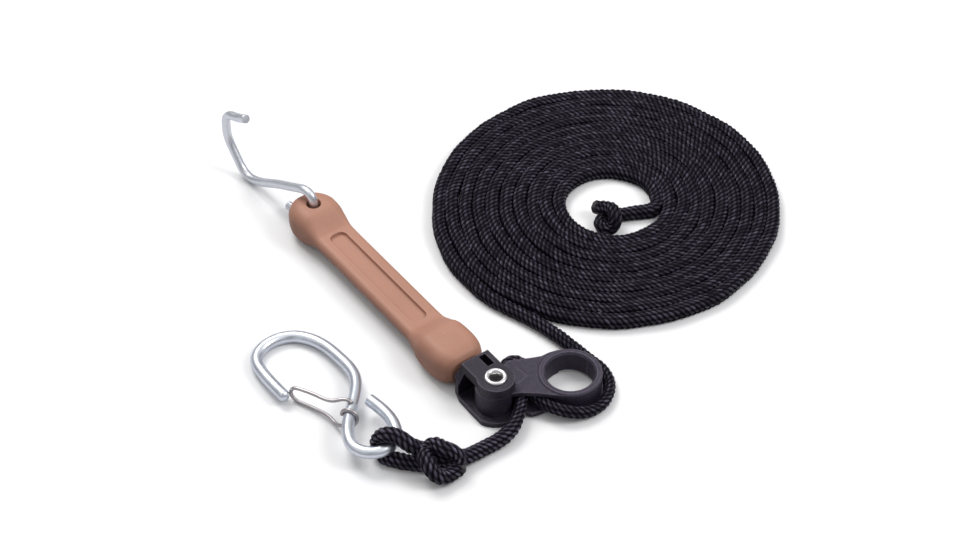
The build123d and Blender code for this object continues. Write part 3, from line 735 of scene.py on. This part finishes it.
# (degrees round the ring, height)
CLIMB = [(WRAP_END, WRAP_Z), (-66, 3.8), (-84, 4.95), (-100, 5.9), (-112, 6.28), (-124, LOCK_Z)]
climb = spline([ring_point(a, z) for a, z in CLIMB]
               + [(-39.2, -134.8, LOCK_Z), turn_in - LOCK_DIR * 9, turn_in],
               start_dir=heading(WRAP_END - 90), end_dir=LOCK_DIR)
turn_angle = math.atan2(LOCK_SIDE[1], LOCK_SIDE[0])
u_turn = arc(TURN_CENTRE[0], TURN_CENTRE[1], TURN_RADIUS, turn_angle, turn_angle + math.pi,
             LOCK_Z)
out_of_lock = spline([turn_out, turn_out - LOCK_DIR * 9, (-47.2, -129.8, LOCK_Z),
                      (-45.7, -134.0, LOCK_Z), LEAD_EXIT],
                     start_dir=-LOCK_DIR, end_dir=LEAD_DIR)
lead = spline([LEAD_EXIT] + LEAD_POINTS, start_dir=LEAD_DIR)

# ------------------------------------------------------------------ rope: surface
ROPE_STEP = 0.42
ROPE_RING = 44
BRAID_RADIUS, BRAID_RELIEF = 2.52, 0.72
WALES = 8                                # columns of stitches round the rope
STITCH_PITCH = 2.75
WALE_SHIFT = 0.75                        # each wale is this share of a pitch past the last
STITCH_TILT = math.radians(36)
STITCH_LENGTH, STITCH_WIDTH = 2.0, 0.82  # half sizes
SQUARENESS = 3.3                         # superellipse power where turns press together
# sine terms: (amplitude, mm for each radian, phase)
COIL_DRIFT = [(0.20, 9.7, 0.0), (0.17, 4.3, 2.0), (0.16, 23.0, 0.7)]
COIL_RISE = [(0.16, 6.1, 1.0), (0.14, 15.3, 0.0)]
SECTION_WAVER = [(0.012, 7.3, 0.0), (0.010, 17.9, 1.3)]


def waves(mean, terms):
    """Sum of sines along the rope, round a mean."""
    return sum((size * np.sin(rope_s / span + phase) for size, span, phase in terms), mean)


def smooth_step(start, end):
    """0 before start and 1 after end, in length along the rope."""
    t = np.clip((rope_s - start) / (end - start), 0, 1)
    return t * t * (3 - 2 * t)


def nearest(point):
    """Index of the rope point closest to a place."""
    return int(np.argmin(np.linalg.norm(rope - np.array(point), axis=1)))


def braid(lengths, angles):
    """Height 0..1 of a solid braid, and a tone 0..1 for each stitch.

    Wales of slanting stitches, each wale out of step with the next."""
    column = angles * WALES / (2 * math.pi)
    wale_width = 2 * math.pi * ROPE_RADIUS / WALES
    height = np.zeros_like(lengths)
    tone = np.full_like(lengths, 0.5)
    cos_tilt, sin_tilt = math.cos(STITCH_TILT), math.sin(STITCH_TILT)
    for wale_step in (-1, 0, 1):
        wale = np.floor(column) + wale_step
        shift = WALE_SHIFT * wale * STITCH_PITCH
        x = (column - (wale + 0.5)) * wale_width
        for stitch_step in (-1, 0, 1):
            stitch = np.round((lengths - shift) / STITCH_PITCH) + stitch_step
            y = lengths - shift - stitch * STITCH_PITCH
            along, across = y * cos_tilt + x * sin_tilt, -y * sin_tilt + x * cos_tilt
            # a repeatable random number for each stitch
            key = np.sin((wale % WALES) * 12.9898 + stitch * 4.1414) * 43758.5453
            key = key - np.floor(key)
            reach = (along / STITCH_LENGTH) ** 2 + (across / STITCH_WIDTH) ** 2
            dome = (0.68 + 0.32 * key) * np.sqrt(np.clip(1 - reach, 0, 1))
            tone = np.where(dome > height, (key * 7.31) % 1.0, tone)
            height = np.maximum(height, dome)
    return height, tone


rope, rope_s = even(join(stopper_knot, spline([knot_exit, inner_bend[0]]), inner_bend, coil,
                         tail_out, spline([tail_start, wrap_start]), ring_wrap, climb, u_turn,
                         out_of_lock, lead), ROPE_STEP)
# the turns of the coil don't lie perfectly even
coil_end_s = rope_s[nearest(coil_exit)]
ease = np.clip((rope_s - 45.0) / 30.0, 0, 1) * np.clip((coil_end_s - rope_s) / 30.0, 0, 1)
from_middle = np.maximum(1e-6, np.linalg.norm(rope[:, :2], axis=1))[:, None]
outwards = rope * (1, 1, 0) / from_middle
rope = rope + outwards * (ease * waves(0.0, COIL_DRIFT))[:, None]
rope[:, 2] += ease * waves(0.16, COIL_RISE)
tangents, normals, sides = frames(rope)

ring_angles = np.linspace(0, 2 * math.pi, ROPE_RING, endpoint=False)
length_grid, angle_grid = np.meshgrid(rope_s, ring_angles, indexing="ij")
lift, shade = braid(length_grid, angle_grid)

# it is fuller where it lies free than where it is squeezed round the ring and through the lock
ring_s, lead_s = rope_s[nearest(wrap_start)], rope_s[nearest(LEAD_EXIT)]
in_coil = smooth_step(40, 60) * (1 - smooth_step(coil_end_s - 25, coil_end_s))
full = (1.13 + 0.01 * in_coil - 0.13 * smooth_step(ring_s - 26, ring_s - 6)
        + 0.24 * smooth_step(lead_s + 4, lead_s + 22))
loop_s, loop_end_s = rope_s[nearest(LOOP_START)], rope_s[nearest(LOOP_END)]
full = full + (0.04 * smooth_step(loop_s - 3, loop_s + 8)
               * (1 - smooth_step(loop_end_s - 8, loop_end_s + 3)))
radii = (BRAID_RADIUS + BRAID_RELIEF * lift) * (waves(0.985, SECTION_WAVER) * full)[:, None]
# outside the coil's turns, by the knots and along the lead, the stitches are painted lighter:
# painted light, since these parts get less light than the top of the coil
shade = np.where((in_coil < 0.5)[:, None], 0.45 + 0.55 * shade, shade)
# neighbouring turns press flat against each other
from_up = angle_grid - np.arctan2(sides[:, 2], normals[:, 2])[:, None]
squash = (np.abs(np.cos(from_up)) ** SQUARENESS
          + np.abs(np.sin(from_up)) ** SQUARENESS) ** (-1 / SQUARENESS)
radii = radii * (1 + in_coil[:, None] * (squash - 1))
rope_rings = rope[:, None, :] + radii[..., None] * (
    np.cos(angle_grid)[..., None] * normals[:, None, :]
    + np.sin(angle_grid)[..., None] * sides[:, None, :])
# the rope rests on the floor and doesn't sink into it
rope_rings[..., 2] = np.maximum(rope_rings[..., 2], FLOOR_GAP)

# ------------------------------------------------------------------ rope: pieces
# (name, where the piece ends, material); each piece starts where the one before ends
ROPE_PIECES = [
    ("rope_coil_and_stopper_knot", nearest(tail_start - tail_dir * 15.0), ROPE),
    ("rope_tail_bend", nearest(tail_start + tail_dir * 15.0), ROPE),
    ("rope_round_ring_and_through_lock", nearest((-46.0, -132.8, LOCK_Z)), ROPE),
    ("rope_lead_bend", nearest((-50.5, -154.4, 5.1)), ROPE_LEAD_PAINTED_LIGHTER),
    ("rope_lead_knot_and_loop", len(rope) - 1, ROPE_LEAD_PAINTED_LIGHTER)]
# sealed end: (distance out from the rope's end, radius, share of the flare)
TIP_PROFILE = [(-1.1, 0.90, 0), (-0.7, 0.985, 0), (0.0, 1.02, 0), (0.6, 1.03, 0.4),
               (1.3, 1.0, 1), (1.9, 0.98, 1), (2.3, 0.88, 0), (2.5, 0.62, 0),
               (2.55, 0.30, 0), (2.5, 0.06, 0)]
TIP_LUMPS = [(2, 0.055), (3, 0.05), (7, 0.03), (11, 0.02)]     # (waves round the end, height)
TIP_RADIUS = 2.98


def rope_pieces():
    pieces = []
    start = 0
    for name, end, material in ROPE_PIECES:
        part = slice(start, end + 1)
        ob = skin(name, rope_rings[part], rope_s[part], (lift[part], shade[part]))
        pieces.append(dress(ob, material))
        start = end
    return pieces


def melted_tip(name, end, at_start, seed, flare):
    """The heat-sealed end: the braid runs into a wrinkled cap."""
    rng = np.random.RandomState(seed)
    outward = -tangents[end] if at_start else tangents[end]
    a = np.linspace(0, 2 * math.pi, 48, endpoint=False)
    radial = np.cos(a)[:, None] * normals[end] + np.sin(a)[:, None] * sides[end]
    phases = rng.uniform(0, 6, 5)
    rings = []
    for x, base, share in TIP_PROFILE:
        radius = base + flare * share
        melted = min(1.0, max(0.0, (x + 0.6) / 2.0))
        lump = 1 + melted * sum(height * np.sin(count * a + phase)
                                for (count, height), phase in zip(TIP_LUMPS, phases))
        slant = 0.5 * melted * np.cos(a + phases[4])
        rings.append(rope[end] + (x + slant)[:, None] * outward
                     + (TIP_RADIUS * radius * lump)[:, None] * radial)
    rings = np.array(rings)
    rings[..., 2] = np.maximum(rings[..., 2], FLOOR_GAP)
    if at_start:
        rings = rings[:, ::-1]
    ob = skin(name, rings, np.arange(len(TIP_PROFILE)) * 0.4)
    subdivision = ob.modifiers.new("Subdivision", "SUBSURF")
    subdivision.levels = subdivision.render_levels = 1
    return dress(ob, MELT)


coil_rope, tail_rope, lock_rope, bend_rope, lead_rope = rope_pieces()
coil_tip = melted_tip("rope_sealed_end_in_coil", 0, at_start=True, seed=3, flare=0.14)
lead_tip = melted_tip("rope_sealed_end_by_hook", len(rope) - 1, at_start=False, seed=8,
                      flare=0.02)

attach(coil_rope, "rope_coil_body")
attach(coil_tip, "rope_coil_body")
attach(lock_rope, "lever")
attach(lead_rope, "lead")
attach(lead_tip, "lead")
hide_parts("rope_coil", "rope_stopper_knot")
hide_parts("rope_sealed_tip_coil_end")
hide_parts("rope_in_lock")
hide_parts("rope_lead", "rope_hook_knot", "rope_hook_loop")
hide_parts("rope_sealed_tip_hook_end")
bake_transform(tail_rope)
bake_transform(bend_rope)

# ------------------------------------------------------------------ rubber stretch link
VOXEL_SCALE = 1.0
BAR_THICKNESS = 7.10
BAR_TOP = LINK_Z + BAR_THICKNESS / 2
BAR_BOTTOM = 2 * LINK_Z - BAR_TOP
# (distance from the rivet, width, thickness, corner radius)
LINK_STATIONS = [
    (20.6, 16.4, 11.80, 4.96), (21.3, 18.4, 13.59, 5.71), (22.5, 21.2, 16.10, 6.76),
    (24.5, 23.5, 17.77, 7.00), (27.0, 25.2, 18.90, 7.00), (30.0, 26.2, 19.39, 7.00),
    (33.0, 26.5, 19.49, 7.00), (37.0, 26.4, 19.36, 7.00), (40.7, 26.1, 18.90, 7.00),
    (43.5, 25.3, 17.29, 6.60), (46.0, 24.1, 14.43, 6.06), (48.5, 23.0, 11.75, 4.94),
    (51.0, 21.8, 8.77, 3.68), (53.4, 21.1, 7.40, 3.07), (56.5, 21.0, 7.15, 3.00),
    (62.0, 20.9, BAR_THICKNESS, 2.98), (92.0, 20.9, BAR_THICKNESS, 2.98),
    (122.0, 20.9, BAR_THICKNESS, 2.98), (127.0, 21.0, 7.15, 3.00), (130.1, 21.1, 7.60, 3.17),
    (133.0, 21.8, 9.75, 4.05), (136.0, 23.0, 13.30, 5.59), (139.0, 24.0, 16.82, 6.90),
    (141.8, 24.7, 18.75, 7.00), (144.5, 25.0, 19.25, 7.00), (147.6, 25.1, 19.30, 7.00),
    (151.0, 23.8, 18.69, 7.00), (153.9, 21.6, 17.50, 7.00), (156.0, 18.9, 16.31, 6.85),
    (157.4, 16.1, 14.89, 6.25), (158.4, 12.0, 12.10, 5.04)]
# (from, to, rings), closer where the shape changes fast
LINK_SPANS = [(20.6, 24, 14), (24, 56, 64), (56, 128, 60), (128, 154, 56), (154, 158.4, 18)]

CHANNEL_START, CHANNEL_END = 56.2, 128.6           # a shallow channel in both faces
CHANNEL_SHIFT = LINK_SHIFT + 0.2
CHANNEL_HALF, CHANNEL_CORNER, CHANNEL_DEPTH = 4.4, 3.2, 1.6
HOLE_ALONG = 147.6                                 # upright hole that takes the wire hook
HOLE_RADIUS, POCKET_RADIUS = 3.6, 5.6
FAN_LENGTH, FAN_HALF = 27.4, 2.9                   # fan-shaped notch under the end
FAN_SPREAD = FAN_LENGTH * math.tan(math.radians(24))
FAN = [(HOLE_ALONG, LINK_SHIFT - FAN_HALF),
       (HOLE_ALONG + FAN_LENGTH, LINK_SHIFT - FAN_SPREAD - FAN_HALF),
       (HOLE_ALONG + FAN_LENGTH, LINK_SHIFT + FAN_SPREAD + FAN_HALF),
       (HOLE_ALONG, LINK_SHIFT + FAN_HALF)]
T_POCKET = [(17.0, -4.8), (32.3, -4.3), (32.3, -7.1), (38.1, -7.1),
            (38.1, 7.1), (32.3, 7.1), (32.3, 4.3), (17.0, 4.8)]


def monotone(x, xs, ys):
    """Smooth monotone cubic through (xs, ys)."""
    xs, ys = np.array(xs, float), np.array(ys, float)
    h = np.diff(xs)
    rise = np.diff(ys) / h
    slope = np.zeros(len(xs))
    slope[0], slope[-1] = rise[0], rise[-1]
    for i in range(1, len(xs) - 1):
        if rise[i - 1] * rise[i] > 0:
            slope[i] = 2 * rise[i - 1] * rise[i] / (rise[i - 1] + rise[i])
    k = np.clip(np.searchsorted(xs, x) - 1, 0, len(xs) - 2)
    t = (x - xs[k]) / h[k]
    return (((1 + 2 * t) * (1 - t) ** 2) * ys[k] + t * (1 - t) ** 2 * h[k] * slope[k]
            + t * t * (3 - 2 * t) * ys[k + 1] + t * t * (t - 1) * h[k] * slope[k + 1])


def rounded_rectangle(x0, x1, y0, y1, radius, corner_points):
    """Outline with the given number of points on each corner."""
    out = []
    for x, y, start in ((x1 - radius, y1 - radius, 0), (x0 + radius, y1 - radius, 90),
                        (x0 + radius, y0 + radius, 180), (x1 - radius, y0 + radius, 270)):
        for k in range(corner_points):
            a = math.radians(start + 90 * (k + 0.5) / corner_points)
            out.append((x + radius * math.cos(a), y + radius * math.sin(a)))
    return np.array(out)


def hole_outline(radius):
    a = np.linspace(0, 2 * math.pi, 40, endpoint=False)
    return np.stack([HOLE_ALONG + radius * np.cos(a), LINK_SHIFT + radius * np.sin(a)], 1)


def link_body():
    columns = list(zip(*LINK_STATIONS))
    along = np.unique(np.concatenate([np.linspace(*span) for span in LINK_SPANS]))
    sections = [monotone(along, columns[0], column) for column in columns[1:]]
    rings = []
    for place, width, thickness, corner in zip(along, *sections):
        half_width, half_thickness = width / 2, thickness / 2
        corner = min(corner, half_width - 0.05, half_thickness - 0.05)
        outline = rounded_rectangle(-half_width, half_width, -half_thickness, half_thickness,
                                    corner, corner_points=16)
        rings.append(link_points(place, outline[:, 0] + LINK_SHIFT, LINK_Z + outline[:, 1]))
    return skin("stretch_link_rubber", np.array(rings))


def cutter(outline, bottom, top):
    """An upright prism with the given outline in link coordinates (along, across)."""
    outline = np.array(outline)
    rings = [link_points(outline[:, 0], outline[:, 1], z) for z in (bottom, top)]
    return skin("link_cutter", np.array(rings), smooth=False)


def stretch_link():
    link = link_body()
    channel = rounded_rectangle(CHANNEL_START, CHANNEL_END, CHANNEL_SHIFT - CHANNEL_HALF,
                                CHANNEL_SHIFT + CHANNEL_HALF, CHANNEL_CORNER, corner_points=14)
    cutters = [cutter(channel, bottom=BAR_TOP - CHANNEL_DEPTH, top=BAR_TOP + 6),
               cutter(channel, bottom=BAR_BOTTOM - 6, top=BAR_BOTTOM + CHANNEL_DEPTH),
               cutter(hole_outline(HOLE_RADIUS), bottom=-1, top=24),
               cutter(FAN, bottom=-1, top=7.2),
               cutter(hole_outline(POCKET_RADIUS), bottom=-1, top=10.6),
               cutter(T_POCKET, bottom=4.1, top=12.3)]
    flip_out(link)
    for tool in cutters:
        flip_out(tool)
        cut = link.modifiers.new("cut", "BOOLEAN")
        cut.operation = "DIFFERENCE"
        cut.solver = "EXACT"
        cut.object = tool
    apply_modifiers(link)
    for tool in cutters:
        bpy.data.objects.remove(tool)
    soften(link, voxel=0.36 * VOXEL_SCALE, rounds=5)
    dress(link, RUBBER)
    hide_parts("stretch_link", "stretch_link_hook_end")
    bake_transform(link)


stretch_link()


# ------------------------------------------------------------------ lock lever and housing
def nylon_moulding(node, carrier, material):
    """A copy of a CAD piece with rounded edges."""
    name = node + "_moulding"
    ob = bpy.data.objects.new(name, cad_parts[node].data.copy())
    bpy.context.scene.collection.objects.link(ob)
    soften(ob, voxel=0.24 * VOXEL_SCALE, rounds=3)
    dress(ob, material)
    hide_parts(node)
    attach(ob, carrier)


nylon_moulding("lock_lever", "lever", LEVER_NYLON)
nylon_moulding("lock_housing", "lock_and_link", HOUSING_NYLON)

# ------------------------------------------------------------------ tubular rivet
# (radius, height) round the section: up the bore, over the rolled head, down the outside,
# round the foot and back into the bore
RIVET_BORE = [(3.10, 17.0), (2.85, 18.0), (2.72, 18.7), (2.80, 19.3), (3.02, 19.85)]
RIVET_OUTSIDE = [(5.34, 20.02), (3.82, 20.02), (3.79, 19.8), (3.79, 1.5), (5.56, 1.42),
                 (5.56, 0.9), (5.2, 0.45), (4.4, 0.36), (3.5, 0.4), (3.10, 0.75),
                 (3.10, 3.0), (3.10, 10.0)]
HEAD_RADIUS, HEAD_Z = 4.32, 20.04        # middle of the roll
ROLL_HALF, ROLL_HEIGHT = 1.02, 1.19
ROLL_INWARD = 1.18                       # the roll is wider on its bore side


def rivet():
    head = []
    for k in range(13):
        a = math.radians(180 - 15 * k)
        widen = ROLL_INWARD if k < 6 else 1.0
        head.append((HEAD_RADIUS + ROLL_HALF * math.cos(a) * widen,
                     HEAD_Z + ROLL_HEIGHT * max(0.0, math.sin(a)) ** 0.8))
    ob = lathe("rivet_tubular", RIVET_BORE + head + RIVET_OUTSIDE, RIVET, segments=96)
    dress(ob, RIVET_STEEL)
    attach(ob, "lock_and_link")
    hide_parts("lock_rivet")


rivet()

# ------------------------------------------------------------------ wire hook in the link's end
HOOK_DIR = heading(133.0)
# (distance from the hole's axis along HOOK_DIR, height)
HOOK_POINTS = [
    (20.3, 4.2), (12.8, 4.3), (7.0, 4.6), (2.5, 6.2), (0.1, 11.0), (-0.05, 16.6), (0.22, 20.5),
    (2.04, 23.5), (5.9, 24.0), (12.2, 21.4), (30.0, 12.2), (47.3, 3.3), (52.0, 2.7),
    (56.4, 4.95), (60.1, 9.7), (64.0, 15.3), (66.4, 20.3), (67.0, 27.2), (66.2, 32.5),
    (62.9, 36.2), (58.1, 38.2), (49.9, 42.2)]


def wire_hook():
    hole = link_points(HOLE_ALONG, LINK_SHIFT, 0.0)
    path = spline([(hole[0] + HOOK_DIR[0] * out, hole[1] + HOOK_DIR[1] * out, z)
                   for out, z in HOOK_POINTS])
    ob = wire("wire_hook_bent", path, radius=2.25, ring_size=48, step=0.4, end_round=0.22,
              dents=0.006, seed=4)
    dress(ob, HOOK_ZINC)
    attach(ob, "wire_hook")
    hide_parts("top_hook")


wire_hook()

# ------------------------------------------------------------------ snap hook
EYE_CENTRE, EYE_RADIUS, EYE_Z = (-113.5, -161.5), 10.8, 9.6
EYE_ANGLES = (-178, -142, -106, -70, -34, 0)
SNAP_BEFORE_EYE = [
    (-155.6, -132.6, 4.89), (-166.3, -117.2, 3.7), (-169.7, -107.8, 3.1), (-166.4, -99.4, 2.95),
    (-152.9, -92.9, 2.95), (-140.2, -97.9, 3.4), (-130.4, -108.6, 4.5), (-123.2, -121.0, 5.8),
    (-122.2, -132.2, 6.8), (-124.0, -147.6, 8.4)]
SNAP_AFTER_EYE = [(-107.4, -147.9, 8.9), (-115.4, -138.4, 8.0)]
NOSE_ROUND = 2.6                         # the nose runs on by its own rounding


def snap_hook():
    eye = [(EYE_CENTRE[0] + EYE_RADIUS * math.cos(math.radians(a)),
            EYE_CENTRE[1] + EYE_RADIUS * math.sin(math.radians(a)), EYE_Z) for a in EYE_ANGLES]
    path = spline(SNAP_BEFORE_EYE + eye + SNAP_AFTER_EYE)
    inward = path[3] - path[0]
    nose = path[0] - inward / np.linalg.norm(inward) * NOSE_ROUND
    ob = wire("snap_hook_body", np.concatenate([[nose], path]), radius=2.95, ring_size=56,
              step=0.4, end_round=0.3, start_round=NOSE_ROUND, dents=0.006, seed=9)
    dress(ob, ZINC)
    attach(ob, "snap")
    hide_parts("snap_hook")


snap_hook()

# a countersunk socket on the spine that holds one end of the gate, coloured near black as
# painted shade in its hole
SOCKET_X, SOCKET_Y = -123.6, -143.0
SOCKET_PROFILE = [                       # (radius, height)
    (0.02, 8.9), (0.7, 8.9), (1.02, 9.3), (1.08, 10.55), (1.12, 10.72), (1.28, 10.79),
    (1.30, 10.70), (1.22, 10.4), (1.2, 8.7), (0.02, 8.7)]


def gate_socket():
    ob = lathe("snap_hook_gate_socket", SOCKET_PROFILE, (SOCKET_X, SOCKET_Y), segments=40)
    # painted shade: the socket is near black for the shade inside the spine's hole
    socket_shade = steel_material("gate_socket_painted_shade", colour=(0.10, 0.10, 0.11), roughness=0.45)
    dress(ob, socket_shade)
    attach(ob, "snap")


gate_socket()

# ------------------------------------------------------------------ gate
# one wire, from its socket round the nose and back to its turn on the spine
GATE_POINTS = [
    (SOCKET_X, SOCKET_Y, 9.1), (SOCKET_X - 0.1, SOCKET_Y + 0.1, 11.2),
    (SOCKET_X - 2.2, SOCKET_Y + 1.0, 12.0), (-131.4, -141.6, 10.9), (-139.8, -137.0, 9.4),
    (-147.0, -132.6, 8.6), (-151.0, -131.0, 7.8), (-152.2, -130.7, 5.0), (-151.1, -131.6, 2.0),
    (-146.6, -134.4, 1.2), (-139.4, -139.0, 1.6), (-133.4, -144.4, 2.3), (-129.8, -149.4, 3.0)]
SPINE_POINT = np.array((-124.05, -147.9, 8.43))
SPINE_DIR = np.array((-1.2, -10.7, 1.25))
GATE_TURN_RADIUS = 3.80
GATE_TURN_START, GATE_TURN_STEP = -118, 20.5       # degrees
GATE_TURN_OFFSET, GATE_TURN_ADVANCE = 4.4, 0.30    # along the spine


def gate():
    along = SPINE_DIR / np.linalg.norm(SPINE_DIR)
    side = np.cross((0, 0, 1.0), along)
    side /= np.linalg.norm(side)
    up = np.cross(along, side)
    turn = []
    for k in range(16):
        a = math.radians(GATE_TURN_START + k * GATE_TURN_STEP)
        turn.append(SPINE_POINT + along * (GATE_TURN_OFFSET - k * GATE_TURN_ADVANCE)
                    + side * (GATE_TURN_RADIUS * math.cos(a))
                    + up * (GATE_TURN_RADIUS * math.sin(a)))
    ob = wire("snap_gate_wire", spline(GATE_POINTS + turn), radius=0.88, ring_size=20,
              step=0.3, end_round=0.2, dents=0.004, seed=2)
    dress(ob, SPRING)
    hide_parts("snap_gate", "gate_wire_wrap")
    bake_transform(ob)


gate()


# ------------------------------------------------------------------ studio, in metres
def floor():
    """A round paper floor, paler to the camera than to the light it bounces."""
    bm = bmesh.new()
    bmesh.ops.create_circle(bm, cap_ends=True, segments=96, radius=6.0)
    mesh = bpy.data.meshes.new("floor")
    bm.to_mesh(mesh)
    bm.free()
    ob = bpy.data.objects.new("floor", mesh)
    ob.location = ((cad_low.x + cad_high.x) / 2, (cad_low.y + cad_high.y) / 2, -0.00002)
    bpy.context.scene.collection.objects.link(ob)
    mat = new_shader("floor_paper")
    ray = mat.node("LightPath").outputs
    bounced = mat.mix((0.22, 0.217, 0.23), (0.62, 0.62, 0.64), factor=ray["Is Glossy Ray"])
    paint(ob, mat.finish({
        "Base Color": mat.mix(bounced, (0.91, 0.91, 0.915), factor=ray["Is Camera Ray"]),
        "Roughness": 0.9,
        "Specular IOR Level": 0.15}))


def studio_world():
    """A grey room, brighter overhead, with a dark patch for bright wire to reflect."""
    world = bpy.data.worlds.new("studio")
    bpy.context.scene.world = world
    sky = Shader(world, output="OutputWorld", surface="Background")
    direction = sky.node("TexCoord").outputs["Generated"]
    height = sky.node("SeparateXYZ", {0: direction}).outputs["Z"]
    tone = sky.ramp(height, [(0.0, (0.20, 0.20, 0.215)), (0.20, (0.30, 0.30, 0.32)),
                             (0.50, (0.80, 0.80, 0.81)), (1.0, (1.16, 1.16, 1.16))])
    # the dark shape of the camera and the person behind it
    to_camera = Vector((0.02, -0.72, 0.70)).normalized()
    facing = sky.node("VectorMath", {0: direction, 1: to_camera}, operation="DOT_PRODUCT")
    dark = sky.mask(facing.outputs["Value"], zero=0.958, one=0.984)
    tone = sky.mix(tone, (0.05, 0.05, 0.06), factor=sky.multiply(dark, by=0.86))
    sky.finish({"Color": tone, "Strength": 0.74})


def softbox(name, location, size, power, colour):
    """A rectangular light aimed at the scene origin."""
    light = bpy.data.lights.new(name, "AREA")
    light.shape = "RECTANGLE"
    light.size, light.size_y = size
    light.energy = power
    light.color = colour
    ob = bpy.data.objects.new(name, light)
    ob.location = location
    ob.rotation_euler = (-Vector(location)).to_track_quat("-Z", "Y").to_euler()
    bpy.context.scene.collection.objects.link(ob)


def camera():
    lens = bpy.data.cameras.new("camera")
    lens.sensor_width = 36.0
    lens.lens = 97.57362
    lens.clip_start, lens.clip_end = 0.05, 20
    ob = bpy.data.objects.new("camera", lens)
    ob.location = scene_point(-60.4, -968.0, 906.0)
    ob.rotation_euler = (math.radians(90 - 44.57), 0, 0)     # looks 44.57 degrees down
    bpy.context.scene.collection.objects.link(ob)
    bpy.context.scene.camera = ob


floor()
studio_world()
softbox("key_softbox", location=(-0.55, 0.75, 1.35), size=(0.75, 0.75), power=13.0,
        colour=(1.0, 0.995, 0.985))
softbox("fill_softbox", location=(0.95, -0.15, 1.0), size=(0.45, 0.6), power=6.5,
        colour=(0.985, 0.99, 1.0))
camera()
bpy.context.scene.view_settings.view_transform = "Standard"
bpy.context.scene.view_settings.look = "None"
